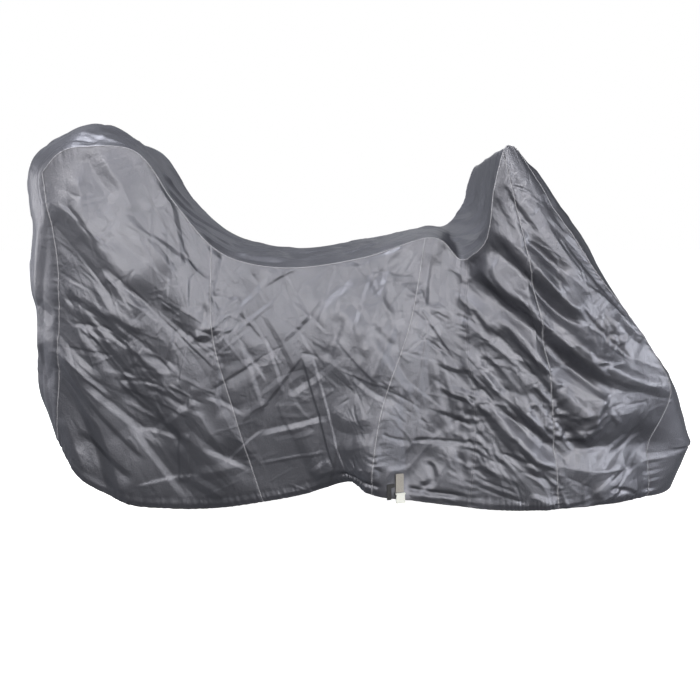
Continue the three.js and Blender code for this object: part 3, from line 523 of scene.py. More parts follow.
# Floor and room: side of the floor in metres and its glow, tint of the room, and its strength, which changes
# from the front to the back and from the left to the right.
FLOOR_SIZE = 14.0
FLOOR_GLOW = 0.85
WHITE = (1.0, 1.0, 1.0, 1.0)
ROOM_TINT = (0.90, 0.94, 1.0, 1.0)
ROOM_WALLS = (
    # axis, direction from and to, strength from and to
    ("Y", -0.35, 0.55, 0.23, 0.78),
    ("X", -0.50, -0.05, 0.85, 0.42),
)
LAMPS = (
    # name, place, size in metres, power in watts, colour
    ("front_left", (-1.5, -3.2, 0.5), 0.8, 56.0, (1.0, 0.98, 0.94)),
    ("front_middle", (-0.2, -3.4, 0.3), 0.6, 9.0, (1.0, 0.98, 0.94)),
    ("front_high", (0.6, -2.8, 1.7), 0.8, 26.0, (1.0, 0.98, 0.94)),
    ("front_right", (1.6, -3.2, 0.9), 0.8, 60.0, (1.0, 0.98, 0.94)),
    ("front_right_low", (1.9, -3.0, -0.4), 0.8, 20.0, (1.0, 0.98, 0.94)),
    ("left_high", (-2.6, -1.8, 1.6), 1.0, 54.0, (1.0, 0.97, 0.92)),
    ("left_rim", (-3.0, 0.6, 0.0), 1.2, 30.0, (1.0, 0.98, 0.95)),
    ("right_low", (3.0, -1.7, -0.5), 1.0, 38.0, (0.98, 0.99, 1.0)),
    ("right_high", (2.6, -1.8, 1.6), 1.0, 4.0, (0.98, 0.99, 1.0)),
    ("right_side", (3.2, -0.6, -0.5), 0.6, 22.0, (0.98, 0.99, 1.0)),
    ("slope_back", (0.75, 2.5, 1.25), 2.0, 12.0, (0.98, 0.99, 1.0)),
    ("box_top", (-0.9, -0.3, 2.4), 1.6, 100.0, (0.98, 0.99, 1.0)),
)
LAMP_TARGET = (0.0, 0.0, -0.25)

# Camera in metres, degrees down and millimetres, at the photo's angle.
CAMERA_PLACE = (0.05, -3.2, 0.409)
CAMERA_PITCH = 12.79
CAMERA_LENS = 51.94
CAMERA_SENSOR = 36.0

NAMES = [row[0] for row in STATIONS]
FAR_RISE = np.array([row[1] for row in STATIONS], float)
LEVELS = np.array([row[2:] for row in STATIONS], float)
CHORDS = np.linalg.norm(np.diff(LEVELS, axis=0), axis=2).mean(axis=1)
KNOTS = np.concatenate([[0.0], np.cumsum(CHORDS)])


def curve_through(knots, values, places):
    """Cubic through values at knots, with slopes from three points."""
    knots = np.asarray(knots, float)
    values = np.asarray(values, float)
    places = np.clip(np.asarray(places, float), knots[0], knots[-1])
    steps = np.diff(knots)
    column = (-1,) + (1,) * (values.ndim - 1)
    slopes = np.diff(values, axis=0) / steps.reshape(column)
    tangents = np.empty_like(values)
    before = steps[:-1].reshape(column)
    after = steps[1:].reshape(column)
    tangents[1:-1] = (slopes[:-1] * after + slopes[1:] * before) / (before + after)
    tangents[0] = slopes[0]
    tangents[-1] = slopes[-1]
    cell = np.clip(np.searchsorted(knots, places, side="right") - 1, 0, len(knots) - 2)
    shape = places.shape + (1,) * (values.ndim - 1)
    step = steps[cell].reshape(shape)
    f = ((places - knots[cell]) / steps[cell]).reshape(shape)
    square = f * f
    cube = square * f
    start = (2 * cube - 3 * square + 1) * values[cell] + (cube - 2 * square + f) * step * tangents[cell]
    return start + (3 * square - 2 * cube) * values[cell + 1] + (cube - square) * step * tangents[cell + 1]


def smoothstep(value):
    """Smooth rise from nothing at 0 to one at 1."""
    value = np.clip(value, 0.0, 1.0)
    return value * value * (3 - 2 * value)


def column_places(spacing):
    """Places of the grid's columns along the cover, and the column of each station."""
    places = []
    marks = {}
    for name, start, end in zip(NAMES, KNOTS[:-1], KNOTS[1:]):
        marks[name] = len(places)
        count = max(3, round((end - start) / spacing))
        places.extend(start + (end - start) * np.arange(count) / count)
    marks[NAMES[-1]] = len(places)
    places.append(KNOTS[-1])
    return np.array(places), marks


def smooth_side(places, shares, sign):
    """Side of the cover without folds, as columns by rows of points above the ground."""
    levels = curve_through(KNOTS, LEVELS, places)
    points = curve_through(LEVEL_PLACES, np.swapaxes(levels, 0, 1), shares)
    points = np.swapaxes(points, 0, 1).copy()
    place, reach, shift = FRONT_BEND
    bend = 0.5 * (1 + np.cos(math.pi * np.clip((shares - place) / reach, -1, 1)))
    inside = smoothstep((places - KNOTS[-2]) / (KNOTS[-1] - KNOTS[-2]))
    points[..., 0] += shift * inside[:, None] * bend[None, :]
    points[..., 1] *= sign
    if sign > 0:
        points[..., 2] += curve_through(KNOTS, FAR_RISE, places)[:, None] * (1 - shares)[None, :]
    return points


def grid_normals(points, outward):
    """Unit normals of a grid, turned to the side that outward says."""
    first = np.gradient(points, axis=0)
    second = np.gradient(points, axis=1)
    normals = np.cross(first, second)
    normals /= np.maximum(np.linalg.norm(normals, axis=-1, keepdims=True), 1e-9)
    turn = np.sign(np.sum(normals * outward, axis=-1).mean())
    return normals * turn


def run_along(points, axis=0):
    """Distance of each point along its line, from the first one."""
    steps = np.linalg.norm(np.diff(points, axis=axis), axis=-1)
    start = np.zeros_like(np.take(steps, [0], axis=axis))
    return np.concatenate([start, np.cumsum(steps, axis=axis)], axis=axis)


def smooth_path(path, spacing=12.0):
    """Points along a soft curve through a path."""
    path = np.asarray(path, float)
    if len(path) < 3:
        return path
    lengths = run_along(path)
    count = max(4, int(lengths[-1] / spacing))
    return curve_through(lengths, path, np.linspace(0, lengths[-1], count + 1))


def along_path(path, x, y):
    """Signed distance from a path and share of the way along it, for each point."""
    best = np.full(x.shape, np.inf)
    signed = np.zeros(x.shape)
    share = np.zeros(x.shape)
    lengths = np.linalg.norm(np.diff(path, axis=0), axis=1)
    total = lengths.sum()
    done = 0.0
    for start, end, length in zip(path[:-1], path[1:], lengths):
        direction = (end - start) / length
        ox = x - start[0]
        oy = y - start[1]
        place = np.clip(ox * direction[0] + oy * direction[1], 0, length)
        dx = ox - place * direction[0]
        dy = oy - place * direction[1]
        distance = np.hypot(dx, dy)
        closer = distance < best
        side = np.sign(direction[0] * oy - direction[1] * ox)
        best = np.where(closer, distance, best)
        signed = np.where(closer, distance * np.where(side == 0, 1, side), signed)
        share = np.where(closer, (done + place) / total, share)
        done += length
    return signed, share


def near_path(path, reach, x, y):
    """Which points lie inside the box of a path and its reach."""
    low = path.min(axis=0) - reach
    high = path.max(axis=0) + reach
    return (x > low[0]) & (x < high[0]) & (y > low[1]) & (y < high[1])


def tent(distance, reach, crest):
    """Straight slopes from a rounded crest of one down to nothing at the reach."""
    top = np.sqrt(reach * reach + crest * crest)
    return np.clip((top - np.sqrt(distance * distance + crest * crest)) / (top - crest), 0, 1)


def fold_height(folds, x, y):
    """Main folds: broad crests and hollows, each side with its own reach."""
    total = np.zeros(x.shape)
    for depth, upper, lower, path in folds:
        line = smooth_path(path)
        inside = near_path(line, max(upper, lower), x, y)
        signed, share = along_path(line, x[inside], y[inside])
        reach = np.where(signed > 0, upper, lower)
        ends = smoothstep(np.minimum(share, 1 - share) / FOLD_TAPER)
        total[inside] += depth * tent(signed, reach, FOLD_ROUND * reach) * ends
    return total


def crease_height(creases, x, y, crest=CREST_ROUND):
    """Creases: a crest or trough with straight slopes, each side with its own reach."""
    total = np.zeros(x.shape)
    for height, left, right, path in creases:
        line = smooth_path(path)
        inside = near_path(line, max(left, right), x, y)
        signed, share = along_path(line, x[inside], y[inside])
        reach = np.where(signed > 0, left, right)
        ends = smoothstep(np.minimum(share, 1 - share) / CREASE_TAPER)
        total[inside] += height * tent(signed, reach, crest) * ends
    return total


def pleat_height(pleats, x, y):
    """Pleats: a flat band with soft steps at its edges."""
    total = np.zeros(x.shape)
    for height, half, edge, path in pleats:
        line = smooth_path(path)
        inside = near_path(line, half + edge, x, y)
        signed, share = along_path(line, x[inside], y[inside])
        ends = smoothstep(np.minimum(share, 1 - share) / PLEAT_TAPER)
        total[inside] += height * smoothstep((half + edge - np.abs(signed)) / edge) * ends
    return total


def short_crease(x, y, angle, length, height, reach, bend):
    """One short crease about a point, bent a little."""
    turn = np.array([math.cos(angle), math.sin(angle)])
    across = np.array([-turn[1], turn[0]])
    middle = np.array([x, y]) + across * rng.uniform(-bend, bend) * length
    start = np.array([x, y]) - turn * length / 2
    end = np.array([x, y]) + turn * length / 2
    side = rng.uniform(*UNEVEN_SIDES)
    return (height * rng.choice((-1, 1)), reach * side, reach / side, (start, middle, end))


def crumple_creases(patches):
    """Creases of the crumpled patches, scattered about each centre."""
    rows = []
    for x, y, wide, high, angle, spread, count, length, height, reach in patches:
        for _ in range(count):
            rows.append(short_crease(
                x + rng.normal(0, CRUMPLE_SPREAD) * wide, y + rng.normal(0, CRUMPLE_SPREAD) * high,
                math.radians(angle + rng.uniform(-spread, spread)), length * rng.uniform(*CRUMPLE_LENGTHS),
                height * rng.uniform(*CRUMPLE_HEIGHTS), reach * rng.uniform(*CRUMPLE_REACHES), CRUMPLE_BEND))
    return rows


def loose_creases(families):
    """Small wrinkles scattered over an area."""
    rows = []
    for count, width, rise, lengths, reaches, slopes, direction, spread, bend in families:
        for _ in range(count):
            angle = math.radians(direction + rng.uniform(-spread, spread))
            reach = rng.uniform(*reaches)
            rows.append(short_crease(
                rng.uniform(*width), rng.uniform(*rise), angle, rng.uniform(*lengths),
                reach * rng.uniform(*slopes), reach, bend))
    return rows


def facet_creases(families):
    """Facets scattered over an area, with a steep flank on one side and a broad one on the other."""
    rows = []
    for count, width, rise, lengths, reaches, slopes, direction, spread in families:
        for _ in range(count):
            middle = np.array([rng.uniform(*width), rng.uniform(*rise)])
            angle = math.radians(direction + rng.uniform(-spread, spread))
            half = np.array([math.cos(angle), math.sin(angle)]) * rng.uniform(*lengths) / 2
            broad = rng.uniform(*reaches)
            height = broad * rng.uniform(*slopes) * rng.choice((-1, 1))
            steep = abs(height) / rng.uniform(*FACET_STEEP)
            bow = np.array([-half[1], half[0]]) * rng.uniform(-FACET_BOW, FACET_BOW)
            lit = rng.uniform() < LIT_SHARE
            left, right = (steep, broad) if (height > 0) == lit else (broad, steep)
            rows.append((height, left, right, (middle - half, middle + bow, middle + half)))
    return rows


def ripple(length, spacing):
    """Smooth random wave along a line, from just before its start to past its end."""
    count = int(length / spacing) + 4
    knots = (np.arange(count) - 1) * spacing
    values = rng.uniform(-1, 1, count)
    return lambda place: curve_through(knots, values, place)


def seam_puckers(points, places, marks):
    """Puckers and a groove along each seam of a side."""
    relief = np.zeros(points.shape[:2])
    least, varying = PUCKER_STRENGTH
    for name, height, spacing, reach, deep in SEAM_PUCKERS:
        along = run_along(points[marks[name]])
        away = np.abs(places - places[marks[name]])
        wave = ripple(along[-1] + WAVE_SPARE, spacing / 2)
        strength = ripple(along[-1] + WAVE_SPARE, spacing * PUCKER_RUN)
        near = away < PUCKER_REACHES * reach
        place = along[None, :] + SEAM_SLANT * away[near][:, None]
        lift = height * wave(place) * (least + varying * strength(place))
        relief[near] += lift * np.exp(-away[near] / reach)[:, None]
        groove = np.exp(-((away[near] / SEAM_GROOVE_REACH) ** 2))
        relief[near] -= deep * groove[:, None]
    return relief


def top_puckers(places, down):
    """Puckers along the top edge of a side, from the distance down to each point."""
    height, spacing, reach = TOP_PUCKER
    wave = ripple(places[-1] + WAVE_SPARE, spacing / 2)
    return height * wave(places[:, None] + TOP_SLANT * down) * np.exp(-down / reach)


def hem_relief(places, up, x):
    """Groove, gathers and curl of the hem, from the distance up to each point."""
    start, end = HEM_DEEP_RUN
    inside = smoothstep((x - start) / HEM_DEEP_ONSET) * smoothstep((end - x) / HEM_DEEP_ONSET)
    groove = HEM_GROOVE_PLAIN + (HEM_GROOVE_DEEP - HEM_GROOVE_PLAIN) * inside
    relief = -groove * np.exp(-(((up - HEM_WIDTH) / HEM_GROOVE_REACH) ** 2))
    wave = ripple(places[-1] + WAVE_SPARE, HEM_GATHER_SPACING / 2)
    low = smoothstep((HEM_GATHER_RISE * HEM_WIDTH - up) / HEM_WIDTH)
    relief += HEM_GATHER * wave(places[:, None] + HEM_SLANT * up) * low
    return relief - HEM_CURL * smoothstep((HEM_CURL_REACH - up) / HEM_CURL_REACH)


def away_from_strap(x, z):
    """Nothing under the strap, one a little way off it."""
    (left, right), (low, high), run = STRAP_REST
    off = np.maximum(np.maximum(left - x, x - right), np.maximum(low - z, z - high))
    return smoothstep(off / run)


def dressed_side(sign, spacing, folds, creases, pleats, crumples):
    """A side of the cover with its folds, creases, seams and hem, and the columns of its stations."""
    places, marks = column_places(spacing)
    shares = np.linspace(0, 1, round(ROWS_LENGTH / spacing) + 1)
    base = smooth_side(places, shares, sign)
    normals = grid_normals(base, np.array([0.0, sign, 0.0]))
    x = base[..., 0]
    z = base[..., 2]
    down = run_along(base, axis=1)
    plain = fold_height(folds, x, z) * smoothstep(shares / FOLD_ONSET)[None, :]
    height = plain.copy()
    height += crease_height(creases, x, z) * smoothstep(shares / CREASE_ONSET)[None, :]
    height += pleat_height(pleats, x, z)
    height += crease_height(crumple_creases(crumples), x, z)
    height += crease_height(facet_creases(SIDE_FACETS), x, z) * smoothstep(shares / FACET_ONSET)[None, :]
    height += crease_height(loose_creases(LOOSE_WRINKLES), x, z)
    height += seam_puckers(base, places, marks)
    height += top_puckers(places, down)
    height += hem_relief(places, down[:, -1:] - down, x)
    if sign < 0:
        height = plain + (height - plain) * away_from_strap(x, z)
    return base + normals * height[..., None], normals, places, marks


def turned_hem(points, normals):
    """A side with its hem turned up on the inside, as a few more rows."""
    last = points[:, -1]
    up = points[:, -2] - last
    up /= np.linalg.norm(up, axis=-1, keepdims=True)
    rows = [points]
    for step in range(1, HEM_TURN_ROWS + 1):
        share = step / HEM_TURN_ROWS
        inside = last - normals[:, -1] * HEM_INSET + up * HEM_TURN * share * share
        rows.append(inside[:, None])
    return np.concatenate(rows, axis=1)


def edge_line(side):
    """Edge of a side from the rear hem over the top to the front hem."""
    return np.concatenate([side[0, ::-1][:-1], side[:, 0], side[-1, 1:]])


def edge_places(places, rows):
    """Place of each point of that edge: -1 to 0 up the rear, 0 to 1 along the top, 1 to 2 down the front."""
    rear = np.linspace(-1, 0, rows)[:-1]
    top = places / places[-1]
    front = np.linspace(1, 2, rows)[1:]
    return np.concatenate([rear, top, front])


def crown_places():
    """Places along the edge where the strip's crown is given, and the crowns."""
    spots = []
    crowns = []
    for run, spot, crown in CROWNS:
        if run == "rear":
            spots.append(-spot)
        elif run == "top":
            spots.append(KNOTS[NAMES.index(spot)] / KNOTS[-1])
        else:
            spots.append(1 + spot)
        crowns.append(crown)
    return spots, crowns


def at_places(line, places, wanted):
    """Points of a line at the wanted places."""
    return np.stack([np.interp(wanted, places, line[:, axis]) for axis in range(3)], axis=1)


def steadied(line, run):
    """A line with its small waves smoothed out."""
    weights = np.hanning(2 * run + 1)
    weights /= weights.sum()
    longer = np.pad(line, ((run, run), (0, 0)), mode="reflect", reflect_type="odd")
    return np.stack([np.convolve(longer[:, axis], weights, mode="valid") for axis in range(3)], axis=1)


def strip_ends(marks, top_start, last):
    """First and last row of each length of the centre strip."""
    ends = {}
    start = 0
    for piece, station, *_ in STRIP_PIECES:
        end = last if station is None else top_start + marks[station]
        ends[piece] = (start, end)
        start = end
    return ends


def strip_relief(ends, along, across, width):
    """Creases and wrinkles of the centre strip, which leave its edges as they are."""
    x = np.repeat(along[:, None], len(across), axis=1)
    y = across[None, :] * width[:, None]
    height = np.zeros(x.shape)
    for piece, lift, left, right, path in STRIP_CREASES:
        start, end = ends[piece]
        spots = [along[start] + share * (along[end] - along[start]) for share, _ in path]
        line = [(spot, cross * np.interp(spot, along, width)) for spot, (_, cross) in zip(spots, path)]
        height += crease_height(((lift, left, right, line),), x, y, STRIP_CREST_ROUND)
    height += crease_height(loose_creases(STRIP_WRINKLES), x, y)
    height += crease_height(facet_creases(STRIP_FACETS), x, y)
    edge = np.minimum(y, width[:, None] - y)
    return height * smoothstep(edge / STRIP_EDGE_RUN)


def centre_strip(near_edge, far_edge, places, ends):
    """The centre strip from edge to edge, crowned and creased, that meets every small wave of its edges."""
    near_calm = steadied(near_edge, EDGE_RUN)
    far_calm = steadied(far_edge, EDGE_RUN)
    middle = (near_calm + far_calm) / 2
    tangent = steadied(np.gradient(middle, axis=0), DIRECTION_RUN)
    outward = np.stack([-tangent[:, 2], np.zeros(len(tangent)), tangent[:, 0]], axis=1)
    outward /= np.linalg.norm(outward, axis=1, keepdims=True)
    even = np.linspace(0, 1, STRIP_STEPS + 1)
    across = even * (STRIP_NEAR_STEP + (1 - STRIP_NEAR_STEP) * even)
    bulge = (1 - (2 * across - 1) ** 2) ** CROWN_POWER
    crown = curve_through(*crown_places(), places)
    strip = (near_calm[:, None] * (1 - across)[None, :, None] + far_calm[:, None] * across[None, :, None]
             + (crown[:, None] * bulge[None, :])[..., None] * outward[:, None])
    breadth = np.linalg.norm(far_calm - near_calm, axis=1)
    near_hold = np.exp(-(across[None, :] * breadth[:, None]) / EDGE_FADE)
    far_hold = np.exp(-((1 - across)[None, :] * breadth[:, None]) / EDGE_FADE)
    strip += (near_edge - near_calm)[:, None] * near_hold[..., None]
    strip += (far_edge - far_calm)[:, None] * far_hold[..., None]
    width = np.linalg.norm(far_edge - near_edge, axis=1)
    height = strip_relief(ends, run_along(middle), across, width)
    return strip + grid_normals(strip, outward[:, None]) * height[..., None]


def to_part(points):
    """Millimetres above the ground to metres in the shared frame."""
    return (points - np.array([SADDLE_X, 0.0, SADDLE_HEIGHT])) * MM


def smooth_mesh(name, points, faces):
    """Smoothly shaded mesh of points in millimetres above the ground."""
    mesh = bpy.data.meshes.new(name)
    mesh.from_pydata(to_part(points).tolist(), [], faces)
    mesh.polygons.foreach_set("use_smooth", np.ones(len(faces), bool))
    mesh.update()
    return mesh


def grid_mesh(name, points, flip):
    """Mesh of a grid of points."""
    columns, rows = points.shape[:2]
    ids = np.arange(columns * rows).reshape(columns, rows)
    corners = [ids[:-1, :-1], ids[1:, :-1], ids[1:, 1:], ids[:-1, 1:]]
    if flip:
        corners.reverse()
    faces = np.stack([corner.ravel() for corner in corners], axis=1)
    return smooth_mesh(name, points.reshape(-1, 3), faces.tolist())


def link(name, data):
    """A new object in the scene."""
    made = bpy.data.objects.new(name, data)
    bpy.context.collection.objects.link(made)
    return made


def show(name, mesh, material):
    """A piece of the cover with its material."""
    piece = link(name, mesh)
    mesh.materials.append(material)
    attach(piece, "root")
    return piece


def add_cloth(solid, points, flip):
    """One cloth panel as a thin sheet in place of its solid."""
    name = solid + "_cloth"
    piece = show(name, grid_mesh(name, points, flip), cloth)
    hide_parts(solid)


def tube(path, normals):
    """Vertices and faces of a welt along a path."""
    direction = np.gradient(path, axis=0)
    direction /= np.linalg.norm(direction, axis=1, keepdims=True)
    side = np.cross(direction, normals)
    side /= np.linalg.norm(side, axis=1, keepdims=True)
    out = np.cross(side, direction)
    turns = np.arange(WELT_SIDES) * 2 * math.pi / WELT_SIDES
    ring = side[:, None] * np.cos(turns)[None, :, None] + out[:, None] * np.sin(turns)[None, :, None]
    points = (path + normals * WELT_LIFT)[:, None] + ring * WELT_RADIUS
    faces = []
    for step in range(len(path) - 1):
        for turn in range(WELT_SIDES):
            after = (turn + 1) % WELT_SIDES
            faces.append((step * WELT_SIDES + turn, step * WELT_SIDES + after,
                          (step + 1) * WELT_SIDES + after, (step + 1) * WELT_SIDES + turn))
    faces.append(tuple(range(WELT_SIDES - 1, -1, -1)))
    faces.append(tuple((len(path) - 1) * WELT_SIDES + turn for turn in range(WELT_SIDES)))
    return points.reshape(-1, 3), faces


def stitches(path, normals):
    """Small bars with sloping sides along a path, one to a step."""
    points = []
    faces = []
    for start, end, normal in zip(path[:-1], path[1:], normals):
        run = end - start
        side = np.cross(run, normal)
        wide = side / np.linalg.norm(side) * STITCH_WIDTH
        half = run * STITCH_LENGTH / 2
        high = normal * STITCH_HEIGHT
        spot = (start + end) / 2 + normal * STITCH_LIFT
        base = len(points)
        for long, broad, rise in STITCH_RINGS:
            for ahead, aside in ((-1, -1), (-1, 1), (1, 1), (1, -1)):
                points.append(spot + ahead * long * half + aside * broad * wide + rise * high)
        for corners in ((0, 3, 2, 1), (4, 5, 6, 7), (0, 1, 5, 4), (1, 2, 6, 5), (2, 3, 7, 6), (3, 0, 4, 7)):
            faces.append(tuple(base + corner for corner in corners))
    return np.array(points), faces


def add_joined(name, parts, material):
    """One piece made of several lists of vertices and faces."""
    points = []
    faces = []
    base = 0
    for some_points, some_faces in parts:
        points.append(some_points)
        faces.extend(tuple(base + index for index in face) for face in some_faces)
        base += len(some_points)
    piece = show(name, smooth_mesh(name, np.concatenate(points), faces), material)


def fill(tree, made, **sockets):
    """Inputs of a shader node set to values or linked to other sockets."""
    for name, value in sockets.items():
        socket = made.inputs[name.replace("_", " ")]
        if isinstance(value, bpy.types.NodeSocket):
            tree.links.new(value, socket)
        else:
            socket.default_value = value


def node(tree, kind, **sockets):
    """A new shader node with its inputs filled."""
    made = tree.nodes.new(kind)
    fill(tree, made, **sockets)
    return made


def noise(tree, coordinates, **sockets):
    """Output of a noise texture."""
    return node(tree, "ShaderNodeTexNoise", Vector=coordinates, **sockets).outputs["Fac"]


def ranged(tree, value, **sockets):
    """A value mapped from one range to another."""
    return node(tree, "ShaderNodeMapRange", Value=value, **sockets).outputs["Result"]


def product(tree, first, second):
    """Product of two values."""
    made = tree.nodes.new("ShaderNodeMath")
    made.operation = "MULTIPLY"
    tree.links.new(first, made.inputs[0])
    tree.links.new(second, made.inputs[1])
    return made.outputs["Value"]


def ramp(tree, factor, low, high, tones):
    """A colour ramp over a factor, from a dark tone at low to a light one at high."""
    made = node(tree, "ShaderNodeValToRGB", Fac=factor)
    for element, place, tone in zip(made.color_ramp.elements, (low, high), tones):
        element.position = place
        element.color = (*tone, 1.0)
    return made.outputs["Color"]


def scaled(tree, coordinates, scale):
    """Coordinates stretched along their axes."""
    return node(tree, "ShaderNodeMapping", Vector=coordinates, Scale=scale).outputs["Vector"]


def bumped(tree, height, strength, distance, **under):
    """Normal of a bump, over another one where that is given."""
    return node(tree, "ShaderNodeBump", Height=height, Strength=strength, Distance=distance,
                **under).outputs["Normal"]


def new_material(name):
    """A material with its node tree, its shader and object coordinates."""
    material = bpy.data.materials.new(name)
    material.use_nodes = True
    tree = material.node_tree
    shader = tree.nodes["Principled BSDF"]
    coordinates = tree.nodes.new("ShaderNodeTexCoord").outputs["Object"]
    return material, tree, shader, coordinates


def crinkles(tree, coordinates):
    """Normal of sharp little crinkles in patches, with the slubs of the yarn over them."""
    ridges = node(tree, "ShaderNodeTexNoise", Vector=scaled(tree, coordinates, (1.0, 1.0, 0.8)), Scale=13.0,
                  Detail=3.0, Roughness=0.55, Distortion=0.3)
    ridges.noise_type = "RIDGED_MULTIFRACTAL"
    fill(tree, ridges, Offset=1.0, Gain=2.0)
    calm = noise(tree, coordinates, Scale=4.5, Detail=1.0)
    share = ranged(tree, calm, From_Min=0.40, From_Max=0.62, To_Min=0.20)
    soft = bumped(tree, product(tree, ridges.outputs["Fac"], share), 0.22, 0.004)
    slub = noise(tree, coordinates, Scale=190.0, Detail=3.0, Roughness=0.7)
    return bumped(tree, slub, 0.5, 0.0016, Normal=soft)


def weave(tree, coordinates, soft):
    """Normal of the woven threads, over a softer one."""
    warp = node(tree, "ShaderNodeTexWave", Vector=scaled(tree, coordinates, (1.0, 0.6, 0.0)), Scale=260.0,
                Distortion=0.4)
    weft = node(tree, "ShaderNodeTexWave", Vector=scaled(tree, coordinates, (0.0, 0.0, 1.0)), Scale=260.0,
                Distortion=0.4)
    weft.bands_direction = "Z"
    return bumped(tree, product(tree, warp.outputs["Fac"], weft.outputs["Fac"]), 0.25, 0.0003, Normal=soft)


def cloth_material(name):
    """Coated taffeta: fine weave, small crinkles, soft metallic sheen."""
    material, tree, shader, coordinates = new_material(name)
    patches = noise(tree, coordinates, Scale=7.0, Detail=4.0, Roughness=0.6)
    worn = noise(tree, coordinates, Scale=40.0, Detail=3.0)
    soft = crinkles(tree, coordinates)
    fill(tree, shader, Base_Color=ramp(tree, patches, 0.30, 0.70, CLOTH_TONES),
         Roughness=ranged(tree, worn, To_Min=0.43, To_Max=0.52), Normal=weave(tree, coordinates, soft),
         Coat_Normal=soft, Coat_Weight=0.25, Coat_Roughness=0.28, Metallic=0.85, Specular_IOR_Level=0.5,
         Specular_Tint=EDGE_TINT)
    return material


def thread_material(name, tones):
    """Sewing thread and binding: fine diagonal twist on a pale grey."""
    material, tree, shader, coordinates = new_material(name)
    twist = node(tree, "ShaderNodeTexWave", Vector=coordinates, Scale=420.0, Distortion=1.0)
    twist.bands_direction = "DIAGONAL"
    fill(tree, shader, Base_Color=ramp(tree, twist.outputs["Fac"], 0.2, 0.8, tones),
         Normal=bumped(tree, twist.outputs["Fac"], 0.4, 0.0004), Roughness=0.62)
    return material


def plain_grain(name, tones, scale, roughness):
    """Moulded or woven small part with a fine grain."""
    material, tree, shader, coordinates = new_material(name)
    grain = noise(tree, coordinates, Scale=scale, Detail=3.0)
    fill(tree, shader, Base_Color=ramp(tree, grain, 0.35, 0.65, tones),
         Normal=bumped(tree, grain, 0.2, 0.0004), Roughness=roughness)
    return material


def add_floor():
    """Plain pale floor that lights nothing."""
    half = FLOOR_SIZE / 2
    ground = -SADDLE_HEIGHT * MM
    mesh = bpy.data.meshes.new("floor")
    corners = [(x * half, y * half, ground) for x, y in ((-1, -1), (1, -1), (1, 1), (-1, 1))]
    mesh.from_pydata(corners, [], [(0, 1, 2, 3)])
    floor = link("floor", mesh)
    material, tree, shader, coordinates = new_material("pale_floor")
    patches = noise(tree, coordinates, Scale=3.0, Detail=2.0)
    fill(tree, shader, Base_Color=ramp(tree, patches, 0.3, 0.7, FLOOR_TONES), Roughness=0.9,
         Specular_IOR_Level=0.0, Emission_Color=WHITE, Emission_Strength=FLOOR_GLOW)
    mesh.materials.append(material)
    floor.visible_glossy = False
    floor.visible_diffuse = False


def light_room():
    """A soft studio room around the cover, with a white backdrop."""
    world = bpy.data.worlds.new("studio")
    bpy.context.scene.world = world
    world.use_nodes = True
    tree = world.node_tree
    facing = tree.nodes.new("ShaderNodeTexCoord").outputs["Generated"]
    axes = node(tree, "ShaderNodeSeparateXYZ", Vector=facing)
    shades = [ranged(tree, axes.outputs[axis], From_Min=start, From_Max=end, To_Min=low, To_Max=high)
              for axis, start, end, low, high in ROOM_WALLS]
    room = tree.nodes["Background"]
    fill(tree, room, Color=ROOM_TINT, Strength=product(tree, *shades))
    backdrop = node(tree, "ShaderNodeBackground", Color=WHITE, Strength=1.0)
    seen = tree.nodes.new("ShaderNodeLightPath").outputs["Is Camera Ray"]
    choice = node(tree, "ShaderNodeMixShader", Fac=seen)
    tree.links.new(room.outputs["Background"], choice.inputs[1])
    tree.links.new(backdrop.outputs["Background"], choice.inputs[2])
    fill(tree, tree.nodes["World Output"], Surface=choice.outputs["Shader"])


def add_lamps():
    """Area lamps turned to the middle of the cover."""
    for name, place, size, power, colour in LAMPS:
        lamp = bpy.data.lights.new(name, "AREA")
        lamp.size = size
        lamp.energy = power
        lamp.color = colour
        holder = link(name, lamp)
        holder.location = place
        holder.visible_camera = False
        way = np.array(LAMP_TARGET) - np.array(place)
        tilt = math.acos(-way[2] / np.linalg.norm(way))
        holder.rotation_euler = (tilt, 0.0, math.atan2(-way[0], way[1]))


def add_camera():
    """Camera at the photo's angle."""
    camera = bpy.data.cameras.new("camera")
    camera.sensor_width = CAMERA_SENSOR
    camera.lens = CAMERA_LENS
    holder = link("camera", camera)
    holder.location = CAMERA_PLACE
    holder.rotation_euler = (math.radians(90 - CAMERA_PITCH), 0.0, 0.0)
    bpy.context.scene.camera = holder
    bpy.context.scene.view_settings.view_transform = "Standard"


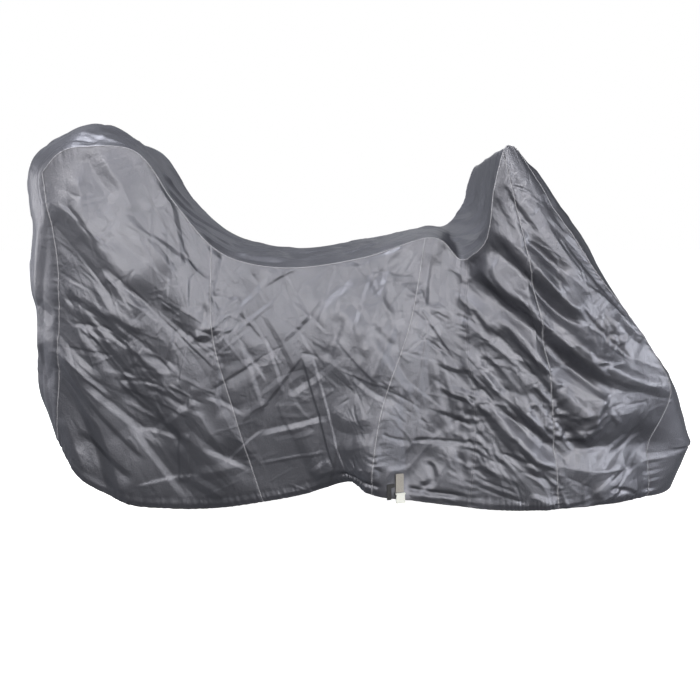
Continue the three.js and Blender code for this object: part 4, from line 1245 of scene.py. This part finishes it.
# The two sides and the centre strip between them. One generator makes all random draws, in this order.
rng = np.random.default_rng(SEED)
near, near_normals, near_places, near_marks = dressed_side(
    -1, NEAR_SPACING, NEAR_FOLDS, NEAR_CREASES, NEAR_PLEATS, NEAR_CRUMPLES)
shift_x, shift_z = FAR_CREASE_SHIFT
far_creases = [
    (FAR_CREASE_DEPTH * height, FAR_CREASE_REACH * left, FAR_CREASE_REACH * right,
     [(x + shift_x, z + shift_z) for x, z in path])
    for height, left, right, path in NEAR_CREASES[::2]]
far, far_normals, far_places, far_marks = dressed_side(
    1, FAR_SPACING, FAR_FOLDS, far_creases, (), NEAR_CRUMPLES[::2])
near_edge = edge_line(near)
strip_places = edge_places(near_places, near.shape[1])
far_edge = at_places(edge_line(far), edge_places(far_places, far.shape[1]), strip_places)
strip_rows = strip_ends(near_marks, near.shape[1] - 1, len(near_edge) - 1)
strip = centre_strip(near_edge, far_edge, strip_places, strip_rows)

# Cloth of the side panels and the centre strip.
cloth = cloth_material("cover_cloth")
for side_name, side, normals, marks, flip in (
        ("near", near, near_normals, near_marks, True), ("far", far, far_normals, far_marks, False)):
    for panel, first, last, width, length, area in PANELS:
        columns = slice(marks[first], marks[last] + 1)
        grid = turned_hem(side[columns], normals[columns])
        add_cloth(side_name + "_" + panel, grid, flip)
for piece, _, width, length, area in STRIP_PIECES:
    start, end = strip_rows[piece]
    add_cloth(piece, strip[start:end + 1], True)

# Welts and stitches along the seams and the top edges.
welts = []
sewing = []
for side, normals, marks in ((near, near_normals, near_marks), (far, far_normals, far_marks)):
    for name in WELTED_SEAMS:
        welts.append(tube(side[marks[name]], normals[marks[name]]))
    for name in SEWN_SEAMS:
        for column in (marks[name] - 1, marks[name] + 1):
            if 0 <= column < len(side):
                sewing.append(stitches(side[column], normals[column]))
    welts.append(tube(side[:, 0], normals[:, 0]))
    sewing.append(stitches(side[:, 1], normals[:, 1]))
add_joined("seam_welts", welts, thread_material("seam_binding", BINDING_TONES))
add_joined("seam_stitches", sewing, thread_material("sewing_thread", THREAD_TONES))

# The strap keeps its solids and gets its materials; the elastic tab's near-black is partly painted shade of
# the gap in the hem.
for solid, name, dark, light, scale, roughness in STRAP_LOOKS:
    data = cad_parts[solid].data
    data.materials.clear()
    data.materials.append(plain_grain(name, (dark, light), scale, roughness))

add_floor()
light_room()
add_lamps()
add_camera()
